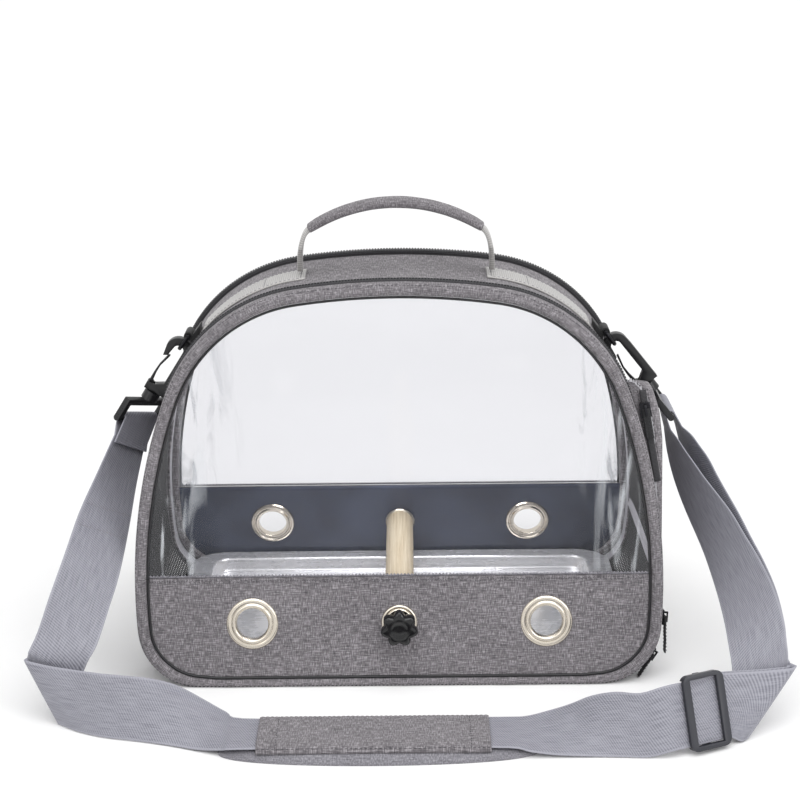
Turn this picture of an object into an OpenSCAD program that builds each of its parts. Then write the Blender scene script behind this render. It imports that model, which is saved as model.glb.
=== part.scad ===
// Soft travel carrier for a small bird. An arched fabric bag with a clear
// window in the front and the back, a wooden perch clamped between the two
// faces, a steel tray, a carrying handle and a shoulder strap on swivel hooks.
// Millimetres. +X is to the right, +Y to the back, +Z up. The origin is the
// middle of the underside.

/* [Bag] */
// Greatest width of the bag
body_w = 350; // [290:1:420]
// Depth of the bag at the base
body_d = 206; // [170:1:250]
// Height of the faces from the base to the top of the arch
body_h = 262.5; // [218:0.5:316]
// Inward lean of the front and back faces, degrees
face_lean = 10.7; // [6:0.1:12]
// Radius of the bottom corners
corner_r = 40; // [32:1:48]
// Radius of the shoulders of the arch
shoulder_r = 107; // [90:1:120]
// Height of the seam between the fabric band and the window
seam_z = 72; // [66:1:86]
// Thickness of the fabric walls
wall_t = 2.5; // [2:0.5:4]

/* [Edges] */
// Width of the padded rim round each face
rim_w = 8; // [6:0.5:10]
// How far the rim reaches behind the face
rim_depth = 6; // [5:0.5:8]
// How far the rim stands proud of the face
rim_proud = 3.6; // [2:0.2:5]
// Width of the piping
piping_w = 1.6; // [1:0.2:3]
// Width of the zipper behind each rim
zip_w = 5; // [4:0.5:6]
// Thickness of the window sheet
window_t = 0.8; // [0.4:0.1:1.2]
// Thickness of the band's fabric
band_t = 2; // [1.5:0.5:3]
// Thickness of the lining sheet
lining_t = 1; // [0.6:0.2:2]

/* [Side walls] */
// Lower edge of the mesh windows
mesh_z0 = 10; // [8:1:20]
// Upper edge of the mesh windows
mesh_z1 = 140; // [120:1:160]
// Width of the fabric border beside the mesh
mesh_border = 12; // [8:1:20]
// Spacing of the net's gaps
mesh_pitch = 16; // [16:1:24]
// Width of the net's strands
mesh_strand = 1.6; // [1:0.2:3]
// Half-width of the bag at the pocket's face, beyond the widest point
pocket_out = 2.5; // [2.2:0.1:8]
// Lower edge of the side pocket
pocket_z0 = 62; // [56:1:80]
// Upper edge of the side pocket
pocket_z1 = 195; // [180:1:200]

/* [Eyelets and perch] */
// Height of the eyelets and the perch
eyelet_z = 41.6; // [36:0.1:50]
// Distance of each vent eyelet from the middle
eyelet_x = 97.5; // [70:0.5:110]
// Bore of the vent eyelets
eyelet_bore = 21; // [16:0.5:26]
// Outer diameter of the vent eyelets
eyelet_od = 34.5; // [30:0.5:36]
// Diameter of the perch
perch_d = 20; // [16:0.5:22]
// Bore of the eyelets at the ends of the perch
perch_eyelet_bore = 15; // [14.5:0.5:16]
// Diameter across the lobes of the knobs
knob_d = 25; // [23:0.5:30]
// Thickness of the knobs
knob_t = 9; // [7:0.5:12]
// Diameter of the knob's stud
stud_d = 6; // [5:0.5:8]

/* [Tray] */
// Height of the tray
tray_h = 11; // [8:0.5:15]
// Width of the tray's lip
tray_lip = 13; // [8:0.5:16]
// Thickness of the tray's sheet
tray_t = 0.8; // [0.6:0.1:1.5]

/* [Handle] */
// Distance of each foot of the handle from the middle
handle_x = 65; // [50:1:75]
// Height of the grip above the feet
handle_rise = 48; // [36:1:60]
// Width of the grip, front to back
grip_w = 17; // [14:0.5:22]
// Thickness of the grip
grip_t = 6.5; // [5.5:0.5:9]
// Width of the webbing on the top of the bag
anchor_w = 30; // [22:1:36]

/* [Shoulder strap] */
// Width of the shoulder strap
strap_w = 40; // [36:1:41]
// Thickness of the webbing
strap_t = 1.5; // [1:0.1:1.6]
// Length of the hooks from the bend to the bar of the eye
hook_len = 57.7; // [54:0.1:62]
// Tilt of the left hook from upright, degrees
left_tilt = 32.6; // [28:0.1:36]
// Tilt of the right hook from upright, degrees
right_tilt = -38.5; // [-42:0.1:-34]
// Length of the adjuster along the strap
adjuster_l = 29; // [26:0.5:32]

/* [Hidden] */
$fn = 48;

// Clearances
seat_gap = 0.3;     // between pieces that move past each other
fit_gap = 0.05;     // radial, for a pin in its bore
sunk_gap = 0.02;    // radial, for a fixed piece in its bore

// Colours
linen = [0.49, 0.475, 0.485];
webbing_grey = [0.55, 0.55, 0.6];
black = [0.06, 0.06, 0.07];
charcoal = [0.2, 0.21, 0.24];
steel = [0.8, 0.8, 0.78];
vinyl = [0.24, 0.26, 0.32];

// The arch is a chain of arcs, each ending at a heading measured from +X
corner_turn = 85.5;
side_turn = 110;
shoulder_turn = 172;
top_slope = (1 + cos(shoulder_turn)) / sin(shoulder_turn);
shoulder_run = shoulder_r * (sin(side_turn) - sin(shoulder_turn));
side_r = (body_h - corner_r * (1 - cos(corner_turn))
    - shoulder_r * (cos(side_turn) - cos(shoulder_turn))
    - top_slope * (body_w / 2 - shoulder_run))
    / (cos(corner_turn) - cos(side_turn) - top_slope * (1 - sin(side_turn)));
top_r = (body_w / 2 - side_r * (1 - sin(side_turn)) - shoulder_run) / sin(shoulder_turn);
base_flat = body_w / 2 - side_r * (1 - sin(corner_turn)) - corner_r * sin(corner_turn);

function heading(a) = [sin(a), -cos(a)];
corner_c = [base_flat, corner_r];
side_c = corner_c + (corner_r - side_r) * heading(corner_turn);
shoulder_c = side_c + (side_r - shoulder_r) * heading(side_turn);
top_c = shoulder_c + (shoulder_r - top_r) * heading(shoulder_turn);
side_top = side_c[1] - side_r * cos(side_turn);

function arc(c, r, a0, a1, n) = [for (i = [1:n]) c + r * heading(a0 + (a1 - a0) * i / n)];
function half_arch(d) = concat(
    [corner_c + (corner_r - d) * heading(0)],
    arc(corner_c, corner_r - d, 0, corner_turn, 8),
    arc(side_c, side_r - d, corner_turn, side_turn, 7),
    arc(shoulder_c, shoulder_r - d, side_turn, shoulder_turn, 9),
    arc(top_c, top_r - d, shoulder_turn, 180, 3));
function arch(d) = let (h = half_arch(d))
    concat(h, [for (i = [len(h) - 2:-1:0]) [-h[i][0], h[i][1]]]);

// Place on the arch at heading a, moved in by d
function arch_at(a, d) =
    a < corner_turn ? corner_c + (corner_r - d) * heading(a) :
    a < side_turn ? side_c + (side_r - d) * heading(a) :
    shoulder_c + (shoulder_r - d) * heading(a);

// Y of the plane that lies n behind the front face, at height z
function face_y(z, n) = -body_d / 2 + z * tan(face_lean) + n / cos(face_lean);

// Depths behind the face
zip_back = rim_depth + zip_w;
mesh_edge = zip_back + mesh_border;
pocket_edge = zip_back + 3;
gusset_out = 2;
gusset_in = gusset_out + wall_t;
base_t = wall_t + 0.5;
board_t = 2;
mesh_t = 1;
mesh_lap = 4;

module arch_prism(d) {
    rotate([90, 0, 0]) linear_extrude(height = 2 * body_d, center = true) polygon(arch(d));
}

module arch_band(d0, d1) {
    rotate([90, 0, 0]) linear_extrude(height = 2 * body_d, center = true)
        difference() {
            polygon(arch(d0));
            polygon(arch(d1));
        }
}

// Extrudes a YZ outline along X, from x0 to x1
module along_x(x0, x1) {
    translate([x0, 0, 0]) rotate([90, 0, 90]) linear_extrude(height = x1 - x0) children();
}

z_low = -20;
z_high = body_h + 40;

module face_slab(n0, n1) {
    along_x(-body_w, body_w) polygon([
        [face_y(z_low, n0), z_low], [face_y(z_low, n1), z_low],
        [face_y(z_high, n1), z_high], [face_y(z_high, n0), z_high]]);
}

// Everything that lies at least n behind both faces
module between_faces(n) {
    along_x(-body_w, body_w) polygon([
        [face_y(z_low, n), z_low], [-face_y(z_low, n), z_low],
        [-face_y(z_high, n), z_high], [face_y(z_high, n), z_high]]);
}

module slice(x0, x1, z0, z1) {
    translate([x0, -body_d, z0]) cube([x1 - x0, 2 * body_d, z1 - z0]);
}

module above_seam() slice(-body_w, body_w, seam_z + seat_gap, z_high);

module below_seam() slice(-body_w, body_w, z_low, seam_z);

module at_back() mirror([0, 1, 0]) children();

// Frame on the front face at x, z: X right, Y up the face, Z out of it
module on_face(x, z) {
    translate([x, face_y(z, 0), z]) rotate([90 - face_lean, 0, 0]) children();
}

// Bag walls
module base_panel() {
    color(linen) intersection() {
        slice(-base_flat, base_flat, 0, base_t);
        between_faces(zip_back);
    }
}

module base_board() {
    color(charcoal) intersection() {
        between_faces(zip_back);
        slice(0.5 - base_flat, base_flat - 0.5, base_t, base_t + board_t);
    }
}

module side_panel() {
    difference() {
        intersection() {
            arch_band(gusset_out, gusset_in);
            between_faces(zip_back);
            slice(-body_w, -base_flat, 0, side_top);
        }
        intersection() {
            between_faces(mesh_edge);
            slice(-body_w, 0, mesh_z0, mesh_z1);
        }
    }
}

module left_side_panel() {
    color(linen) intersection() {
        hook_dents(-1, left_tilt) side_panel();
        slice(-body_w, 0, 0, side_top);
    }
}

module right_side_panel() {
    color(linen) intersection() {
        hook_dents(1, right_tilt) mirror([1, 0, 0]) side_panel();
        slice(0, body_w, 0, side_top);
    }
}

// Half the depth that the net may be cut at height z
function net_reach(z) = -face_y(z, mesh_edge) - mesh_pitch / 2;
mesh_hole = mesh_pitch / 2 - mesh_strand / sqrt(2);

module side_mesh() {
    rows = floor((mesh_z1 - mesh_z0 - mesh_pitch) / (mesh_pitch / 2));
    color(black) difference() {
        intersection() {
            arch_band(gusset_out - mesh_t, gusset_out);
            between_faces(mesh_edge - mesh_lap);
            slice(-body_w, 0, mesh_z0 - mesh_lap, mesh_z1 + mesh_lap);
        }
        for (row = [0:rows]) {
            z = mesh_z0 + mesh_pitch / 2 + row * mesh_pitch / 2;
            shift = (row % 2) * mesh_pitch / 2;
            reach = net_reach(z + mesh_pitch / 2);
            for (y = [shift:mesh_pitch:reach]) {
                net_gap(y, z);
                if (y > 0) net_gap(-y, z);
            }
        }
    }
}

module net_gap(y, z) {
    translate([-body_w, y, z]) rotate([0, 90, 0]) cylinder(r = mesh_hole, h = body_w, $fn = 4);
}

module top_gusset() {
    color(linen) intersection() {
        hook_dents(-1, left_tilt) hook_dents(1, right_tilt) intersection() {
            arch_band(gusset_out, gusset_in);
            between_faces(zip_back);
        }
        slice(-body_w, body_w, side_top, z_high);
    }
}

// Side pocket
pocket_x = body_w / 2 + pocket_out;
pocket_wall = 1.6;
pocket_skin = gusset_out - mesh_t - seat_gap;
pocket_fall = 17.5;
pocket_zip_x = pocket_x - 13.5;
pocket_zip_turn = 9.5;
pocket_zip_w = 5;
pocket_zip_l = 62;
pocket_zip_above = 11;
pocket_zip_t = 1.5;

// The pocket gives way under the right hook and its eye
module pocket_room(grow) {
    hook_room(1, right_tilt, grow, 13.4 + 2 * grow);
    on_hook(1, right_tilt) translate([-2.9 - grow, -eye_slot / 2 - eye_bar - 0.7 - grow, -70])
        cube([40, eye_slot + 2 * eye_bar + 1.4 + 2 * grow, 70 + eye_top + 0.7 + grow]);
}

// Its form, drawn in by shrink: the top falls towards the back
module pocket_form(shrink) {
    y0 = face_y(pocket_z1, pocket_edge);
    top = pocket_z1 - shrink;
    intersection() {
        rotate([90, 0, 0]) linear_extrude(height = 2 * body_d, center = true)
            polygon([[0, pocket_z0], [pocket_x - 2.1 - shrink, pocket_z0],
                [pocket_x - shrink, pocket_z0 + 28], [pocket_x - shrink, pocket_z1 - 35],
                [pocket_x - 6.5 - shrink, pocket_z1 - 8], [pocket_x - 14.5 - shrink, pocket_z1],
                [0, pocket_z1]]);
        along_x(0, body_w) polygon([[y0 - 60, 0], [y0 - 60, top + 60 * tan(pocket_fall)],
            [y0 + 200, top - 200 * tan(pocket_fall)], [y0 + 200, 0]]);
        between_faces(pocket_edge + shrink);
    }
}

module side_pocket() {
    color(linen) difference() {
        pocket_form(0);
        arch_prism(pocket_skin);
        difference() {
            intersection() {
                pocket_form(pocket_wall);
                slice(0, body_w, pocket_z0 + 8, z_high);
            }
            pocket_room(pocket_wall);
        }
        pocket_room(0);
    }
}

pocket_slider_z = pocket_z1 - 17;

module pocket_zipper() {
    color(black) on_face(pocket_zip_x, pocket_slider_z) rotate([0, 0, pocket_zip_turn])
        translate([-pocket_zip_w / 2, pocket_zip_above - pocket_zip_l, -pocket_edge])
        cube([pocket_zip_w, pocket_zip_l, pocket_zip_t]);
}

// Frame on the pocket's zipper, at the slider
module on_pocket() {
    on_face(pocket_zip_x, pocket_slider_z)
        translate([0, 0, -(pocket_edge - pocket_zip_t)])
        rotate([0, 0, 90 + pocket_zip_turn]) rotate([-90, 0, 0]) children();
}

// Zipper sliders and their pulls. X is the way they run, -Y out of the
// zipper, Z across it.
slider_l = 10;
slider_w = 7;
slider_plate = 1.2;
bridge_gap = 1.9;
bridge_t = 1;
pull_pin_d = 1.3;
pull_w = 5.5;
pull_t = 1.5;
pull_arm = 5;
pin_y = -slider_plate - bridge_gap / 2;

module zip_slider(gap) {
    translate([0, -gap, 0]) {
        translate([-slider_l / 2, -slider_plate, -slider_w / 2])
            cube([slider_l, slider_plate, slider_w]);
        translate([-3.6, pin_y - bridge_gap / 2 - bridge_t, -0.8]) cube([7.2, bridge_t, 1.6]);
        for (x = [-3.6, 2.4])
            translate([x, pin_y - bridge_gap / 2, -0.8]) cube([1.2, bridge_gap, 1.6]);
    }
}

module zip_pull(gap, length, turn) {
    translate([0, pin_y - gap, 0]) rotate([0, 0, turn]) {
        cylinder(d = pull_pin_d, h = pull_w, center = true);
        for (side = [-1, 1])
            translate([-pull_arm, -pull_pin_d / 2, side * (pull_w / 2 - 0.6) - 0.6])
                cube([pull_arm, pull_pin_d, 1.2]);
        translate([-length, -pull_t / 2, -pull_w / 2])
            cube([length - pull_arm + 0.6, pull_t, pull_w]);
    }
}

module pocket_slider() {
    color(charcoal) on_pocket() zip_slider(seat_gap);
}

module pocket_pull() {
    color(black) on_pocket() zip_pull(seat_gap, 20, 0);
}

// Zippers round the faces
zip_out = 0.5;
zip_in = 4;
slider_gap = 0.9;
lower_gap = 0.4;
upper_slider_at = 86.3;
lower_slider_at = 56;
upper_pull_l = 25;
lower_pull_l = 18;

module face_zipper() {
    color(black) intersection() {
        arch_band(zip_out, zip_in);
        face_slab(rim_depth, zip_back);
    }
}

// Frame on the zipper at heading a
module on_zipper(a) {
    p = arch_at(a, 0);
    on_face(p[0], p[1]) translate([0, 0, -rim_depth - zip_w / 2]) rotate([0, 0, a]) children();
}

module upper_slider() {
    color(charcoal) on_zipper(upper_slider_at) zip_slider(slider_gap);
}

module upper_pull() {
    color(black) on_zipper(upper_slider_at) zip_pull(slider_gap, upper_pull_l, 3.7);
}

module lower_slider() {
    color(charcoal) on_zipper(lower_slider_at) zip_slider(lower_gap);
}

module lower_pull() {
    color(black) on_zipper(lower_slider_at) zip_pull(lower_gap, lower_pull_l, 0);
}

// Faces
module lower_panel() {
    color(linen) difference() {
        intersection() {
            arch_prism(rim_w);
            face_slab(0, band_t);
            below_seam();
        }
        eyelet_holes(sunk_gap);
    }
}

module lower_lining() {
    color(vinyl) difference() {
        intersection() {
            arch_prism(rim_w);
            face_slab(band_t, band_t + lining_t);
            below_seam();
        }
        eyelet_holes(sunk_gap);
    }
}

module lower_linings() {
    lower_lining();
    at_back() lower_lining();
}

eyelet_wall = 0.9;
flange_t = 2.2;
back_flange_t = 1.2;

module eyelet_holes(gap) {
    for (x = [-eyelet_x, eyelet_x])
        on_face(x, eyelet_z)
            cylinder(r = eyelet_bore / 2 + eyelet_wall + gap, h = 30, center = true);
    on_face(0, eyelet_z)
        cylinder(r = perch_eyelet_bore / 2 + eyelet_wall + gap, h = 30, center = true);
}

module rim() {
    arch_and_depth(0, rim_w, -1, rim_depth);
    arch_and_depth(1.5, rim_w - 1.5, -rim_proud, -1);
}

module arch_and_depth(d0, d1, n0, n1) {
    intersection() {
        arch_band(d0, d1);
        face_slab(n0, n1);
    }
}

module lower_rim() {
    color(linen) intersection() {
        rim();
        below_seam();
    }
}

module window_rim() {
    color(linen) intersection() {
        rim();
        above_seam();
    }
}

piping_proud = 1.4;
window_n = 0.5;

module lower_piping() {
    color(black) intersection() {
        arch_and_depth(rim_w, rim_w + piping_w, -piping_proud, 0);
        below_seam();
    }
}

module window_piping() {
    color(black) intersection() {
        arch_and_depth(rim_w, rim_w + piping_w, -piping_proud, window_n);
        above_seam();
    }
}

module window() {
    color([0.85, 0.88, 0.9, 0.35]) intersection() {
        arch_prism(rim_w);
        face_slab(window_n, window_n + window_t);
        above_seam();
    }
}

// Metal eyelets
module eyelet(bore, od) {
    inner = bore / 2;
    outer = od / 2;
    sheet = band_t + lining_t;
    rotate_extrude() polygon([
        [inner, -sheet - back_flange_t], [outer - 1, -sheet - back_flange_t],
        [outer - 1, -sheet], [inner + eyelet_wall, -sheet],
        [inner + eyelet_wall, 0], [outer, 0], [outer, 0.6],
        [outer - 1.2, flange_t - 0.4], [(inner + outer) / 2, flange_t],
        [inner + 0.9, flange_t - 0.4], [inner, 0.6]]);
}

module grommet_pair() {
    color(steel) for (x = [-eyelet_x, eyelet_x]) on_face(x, eyelet_z) eyelet(eyelet_bore, eyelet_od);
}

perch_eyelet_od = 24;

module perch_eyelet() {
    color(steel) on_face(0, eyelet_z) eyelet(perch_eyelet_bore, perch_eyelet_od);
}

module perch_eyelets() {
    perch_eyelet();
    at_back() perch_eyelet();
}

// Perch, clamped between the faces by the two knobs
perch_reach = perch_eyelet_od / 2 * cos(face_lean);
perch_end = face_y(eyelet_z + perch_reach, band_t + lining_t + back_flange_t) + seat_gap;
knob_seat = face_y(eyelet_z - perch_reach, -flange_t) - seat_gap;
insert_d = 10;
insert_l = 18;
stud_grip = 6;
lobes = 7;
lobe_d = 7.2;

// Frame at the perch's front end: Z runs into the perch, along +Y
module on_perch(y) {
    translate([0, y, eyelet_z]) rotate([-90, 0, 0]) children();
}

module perch() {
    color([0.77, 0.72, 0.63]) difference() {
        on_perch(perch_end) cylinder(d = perch_d, h = -2 * perch_end);
        on_perch(perch_end - 1) cylinder(r = insert_d / 2 + sunk_gap, h = insert_l + 1);
        at_back() on_perch(perch_end - 1) cylinder(r = insert_d / 2 + sunk_gap, h = insert_l + 1);
    }
}

module perch_insert() {
    color(steel) on_perch(perch_end) difference() {
        cylinder(d = insert_d, h = insert_l);
        translate([0, 0, -1]) cylinder(r = stud_d / 2 + fit_gap, h = insert_l + 2);
    }
}

module perch_inserts() {
    perch_insert();
    at_back() perch_insert();
}

module knob() {
    boss_d = perch_eyelet_bore - 3.2;
    color(black) difference() {
        union() {
            on_perch(knob_seat - knob_t) cylinder(d = knob_d - lobe_d + 1.5, h = knob_t);
            for (i = [0:lobes - 1])
                on_perch(knob_seat - knob_t) rotate([0, 0, i * 360 / lobes])
                    translate([(knob_d - lobe_d) / 2, 0, 0.8]) cylinder(d = lobe_d, h = knob_t - 1.6);
            on_perch(knob_seat - 1) cylinder(d = boss_d, h = perch_end - knob_seat + 1 - seat_gap);
        }
        on_perch(knob_seat - stud_grip) cylinder(r = stud_d / 2 + sunk_gap, h = 40);
    }
}

module knob_stud() {
    color(steel) on_perch(knob_seat - stud_grip + 0.1)
        cylinder(d = stud_d, h = perch_end - knob_seat + stud_grip + insert_l - 2);
}

// Steel tray on the base board
tray_x = 156;
tray_y = -face_y(base_t + board_t + tray_h, band_t + lining_t + 2.2);
tray_r = 26;

module rounded_rect(hx, hy, r) {
    square([2 * hx - 2 * r, 2 * hy], center = true);
    square([2 * hx, 2 * hy - 2 * r], center = true);
    for (x = [-hx + r, hx - r]) for (y = [-hy + r, hy - r]) translate([x, y]) circle(r);
}

tray_half_w = corner_c[0] + sqrt(pow(corner_r - gusset_in, 2)
    - pow(corner_r - base_t - board_t - tray_h, 2)) - 1.5;
tray_z = base_t + board_t + seat_gap;
tray_wall_x = corner_c[0] + sqrt(pow(corner_r - gusset_in, 2) - pow(corner_r - tray_z, 2)) - 0.5;

module tray() {
    color(steel) translate([0, 0, tray_z]) difference() {
        union() {
            translate([0, 0, tray_h - tray_t]) linear_extrude(height = tray_t)
                rounded_rect(tray_half_w, tray_y, tray_r);
            linear_extrude(height = tray_h)
                rounded_rect(tray_wall_x, tray_y - tray_lip, tray_r - 6);
        }
        translate([0, 0, tray_t]) linear_extrude(height = tray_h)
            rounded_rect(tray_wall_x - tray_t, tray_y - tray_lip - tray_t, tray_r - 6 - tray_t);
    }
}

// Handle
anchor_t = 1.6;
anchor_out = gusset_out - anchor_t;
anchor_x1 = body_w / 2 - 46;
leg_t = 5;
foot_r = 5;
function arch_z(x) = top_c[1] + sqrt(top_r * top_r - x * x);
foot_a = 180 - asin((handle_x - shoulder_c[0]) / (shoulder_r - anchor_out));
foot_z = arch_at(foot_a, anchor_out)[1];
pivot_z = foot_z + foot_r + 0.7;
grip_sag = 17.8;
grip_half = handle_x - 6;
grip_r = (grip_half * grip_half + grip_sag * grip_sag) / (2 * grip_sag);
grip_c = foot_z + handle_rise - grip_r;
grip_turn = asin(grip_half / grip_r);
core_t = 3;
core_w = grip_w - 4;

module handle_anchors() {
    color([0.68, 0.68, 0.68]) for (side = [-1, 1]) intersection() {
        arch_band(anchor_out, gusset_out);
        translate([side * (handle_x + anchor_x1) / 2, 0, body_h / 2])
            cube([anchor_x1 - handle_x + 2 * foot_r, anchor_w, body_h * 2], center = true);
        slice(-body_w, body_w, 150, z_high);
    }
}

module grip_bend(w, t) {
    translate([0, 0, grip_c]) rotate([90, 0, 0]) rotate([0, 0, 90 - grip_turn])
        rotate_extrude(angle = 2 * grip_turn, $fn = 96) translate([grip_r, 0]) children();
}

module stadium(w, t) {
    square([t, w - t], center = true);
    for (side = [-1, 1]) translate([0, side * (w - t) / 2]) circle(d = t, $fn = 24);
}

leg_w = 24;

module leg() {
    top_x = grip_r * sin(grip_turn);
    top_z = grip_c + grip_r * cos(grip_turn);
    intersection() {
        rotate([90, 0, 0]) linear_extrude(height = leg_w, center = true) polygon([
            [top_x - 2.6, top_z - 3.2], [top_x - 0.4, top_z + 1.4], [top_x + 3, top_z - 1.2],
            [handle_x + leg_t / 2, pivot_z + 4], [handle_x + leg_t / 2, pivot_z - foot_r],
            [handle_x - leg_t / 2, pivot_z - foot_r], [handle_x - leg_t / 2, pivot_z + 4]]);
        along_x(0, body_w) union() {
            translate([0, pivot_z]) circle(foot_r);
            polygon([[-foot_r, pivot_z], [foot_r, pivot_z], [leg_w / 2, pivot_z + 14],
                [core_w / 2, top_z], [core_w / 2, top_z + 9], [-core_w / 2, top_z + 9],
                [-core_w / 2, top_z], [-leg_w / 2, pivot_z + 14]]);
        }
    }
}

module handle_webbing() {
    color([0.68, 0.68, 0.68]) {
        grip_bend() stadium(core_w, core_t);
        leg();
        mirror([1, 0, 0]) leg();
    }
}

module handle_grip() {
    color(linen) translate([0, 0, grip_c]) rotate([90, 0, 0])
        rotate([0, 0, 90 - grip_turn + 1.4]) rotate_extrude(angle = 2 * grip_turn - 2.8, $fn = 96)
        translate([grip_r, 0]) difference() {
            stadium(grip_w, grip_t);
            stadium(core_w + 0.4, core_t + 0.4);
        }
}

// Rings at the ends of the handle webbing
ring_wire = 3;
ring_half = 9.5;
ring_reach = 12.3;
ring_a = 125.5;
ring_foot = arch_at(ring_a, -3.2);
ring_tip = ring_foot - ring_reach * [cos(ring_a), sin(ring_a)];
tab_w = 15;

// Frame at the right ring's bar: X along the ring's reach, Y along the bar
module on_ring() {
    translate([ring_foot[0], 0, ring_foot[1]])
        rotate([0, atan2(ring_foot[1] - ring_tip[1], ring_tip[0] - ring_foot[0]), 0]) children();
}

module ring_tab() {
    difference() {
        union() {
            intersection() {
                arch_band(-1.4, gusset_out - 0.02);
                slice(anchor_x1 + foot_r + 0.2, ring_foot[0] - 1.6, 150, z_high);
                translate([0, -tab_w / 2, 0]) cube([body_w, tab_w, z_high]);
            }
            on_ring() rotate([90, 0, 0]) cylinder(d = ring_wire + 3, h = tab_w, center = true);
        }
        on_ring() rotate([90, 0, 0]) cylinder(r = ring_wire / 2 + 0.08, h = 60, center = true);
    }
}

module ring_tabs() {
    color(black) {
        ring_tab();
        mirror([1, 0, 0]) ring_tab();
    }
}

module d_ring() {
    on_ring() {
        rotate([90, 0, 0]) cylinder(d = ring_wire, h = 2 * ring_half + 2, center = true);
        for (side = [-1, 1]) translate([0, side * ring_half, 0])
            rotate([0, 90, 0]) cylinder(d = ring_wire - 0.4, h = ring_reach - ring_half);
        translate([ring_reach - ring_half, 0, 0]) rotate([0, 0, -90])
            rotate_extrude(angle = 180) translate([ring_half, 0]) circle(d = ring_wire - 0.4, $fn = 24);
    }
}

module d_rings() {
    color(charcoal) {
        d_ring();
        mirror([1, 0, 0]) d_ring();
    }
}

// Swivel hooks. Z runs up the hook, the mouth opens to -X.
bend_in = 3.6;
bend_out = 8.8;
hook_w = 7;
ring_lift = bend_in - ring_wire / 2 - 0.45 - seat_gap;
gate_x = -4.6;
gate_z = -30.5;
hook_base_z = -35;
swivel_d = 5;
swivel_head = 8;
eye_top = -42;
eye_bar = 4.6;
eye_slot = strap_w + 1.2;
eye_z = -hook_len;
left_twist = -31;
right_twist = 0;

// Frame of a hook that hangs in the ring at tip
module on_hook(side, tilt) {
    translate([side * ring_tip[0], 0, ring_tip[1]]) rotate([0, tilt, 0])
        translate([0, 0, -ring_lift]) children();
}

module hook() {
    spine = bend_out + 0.3;
    difference() {
        rotate([90, 0, 0]) linear_extrude(height = hook_w, center = true) {
            difference() {
                circle(bend_out);
                circle(bend_in);
                translate([-20, -40]) square([40, 40]);
            }
            polygon([[-bend_out, 0], [-bend_in, 0], [-bend_in - 1, -6.5], [-bend_out + 1.4, -8]]);
            polygon([[bend_in, 0], [bend_out, 0], [spine, -6], [spine, hook_base_z],
                [-7.2, hook_base_z], [-7.2, -29.6], [-2, -29.6], [bend_in, -26]]);
        }
        translate([gate_x, 0, gate_z]) rotate([90, 0, 0])
            cylinder(r = 2.9, h = hook_w - 2.4, center = true);
        translate([gate_x - 6, -hook_w / 2 + 1.2, gate_z]) cube([7.5, hook_w - 2.4, 6]);
    }
    translate([gate_x, 0, gate_z]) rotate([90, 0, 0]) cylinder(d = 2, h = hook_w - 1, center = true);
    translate([0, 0, hook_base_z - 4.6]) cylinder(d = swivel_d, h = 5.6);
    translate([0, 0, hook_base_z - 5.8]) cylinder(d = swivel_head, h = 1.4);
}

module hook_gate() {
    gate_w = hook_w - 3;
    difference() {
        union() {
            translate([gate_x, 0, gate_z]) rotate([90, 0, 0])
                cylinder(r = 2.2, h = gate_w, center = true);
            rotate([90, 0, 0]) linear_extrude(height = gate_w, center = true) polygon([
                [gate_x - 2, gate_z], [gate_x + 0.5, gate_z + 1.4], [gate_x - 0.4, -22],
                [gate_x - 0.4, -16], [-2.6, -6.5], [-4.2, -6.6], [-6.2, -15.5], [-6.6, -22]]);
        }
        translate([gate_x, 0, gate_z]) rotate([90, 0, 0])
            cylinder(r = 1 + fit_gap, h = hook_w, center = true);
    }
}

module swivel_eye() {
    side = (eye_slot + 2 * eye_bar) / 2;
    difference() {
        union() {
            translate([0, 0, eye_top]) cylinder(d = 11.5, h = eye_top * -1 + hook_base_z - seat_gap);
            translate([-2.2, -side, eye_top - 4.2]) cube([4.4, 2 * side, 4.4]);
        }
        translate([0, 0, hook_base_z - 5]) cylinder(r = swivel_d / 2 + fit_gap, h = 6);
        translate([0, 0, hook_base_z - 6.1]) cylinder(r = swivel_head / 2 + 0.2, h = 2);
    }
    for (end = [-1, 1])
        translate([-2.2, end * (side - eye_bar / 2) - eye_bar / 2, eye_z])
            cube([4.4, eye_bar, eye_top - eye_z - 4]);
    translate([0, 0, eye_z]) rotate([90, 0, 0]) cylinder(d = eye_bar, h = 2 * side, center = true);
}

// The room that a hanging hook needs beside it, and the dent that it leaves in
// the cloth: wall_t thick, with the room taken out of it
room_w = hook_w + 1.4;

module hook_room(side, tilt, grow, w) {
    on_hook(side, tilt) rotate([90, 0, 0]) linear_extrude(height = w, center = true)
        offset(delta = grow) hull() {
            circle(bend_out + 0.5);
            translate([-7.8, hook_base_z - 12]) square([bend_out + 8.8, 1]);
        }
}

module hook_dents(side, tilt) {
    difference() {
        union() {
            children();
            intersection() {
                arch_prism(gusset_out);
                hook_room(side, tilt, wall_t - 0.3, room_w + 2 * wall_t);
                slice(-body_w, body_w, 150, z_high);
            }
        }
        hook_room(side, tilt, 0, room_w);
    }
}

module left_hook() { color(black) on_hook(-1, left_tilt) hook(); }

module right_hook() { color(black) on_hook(1, right_tilt) hook(); }

module left_hook_gate() { color(charcoal) on_hook(-1, left_tilt) hook_gate(); }

module right_hook_gate() { color(charcoal) on_hook(1, right_tilt) hook_gate(); }

module left_swivel_eye() {
    color(black) on_hook(-1, left_tilt) rotate([0, 0, left_twist]) swivel_eye();
}

module right_swivel_eye() {
    color(black) on_hook(1, right_tilt) rotate([0, 0, right_twist]) swivel_eye();
}

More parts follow.
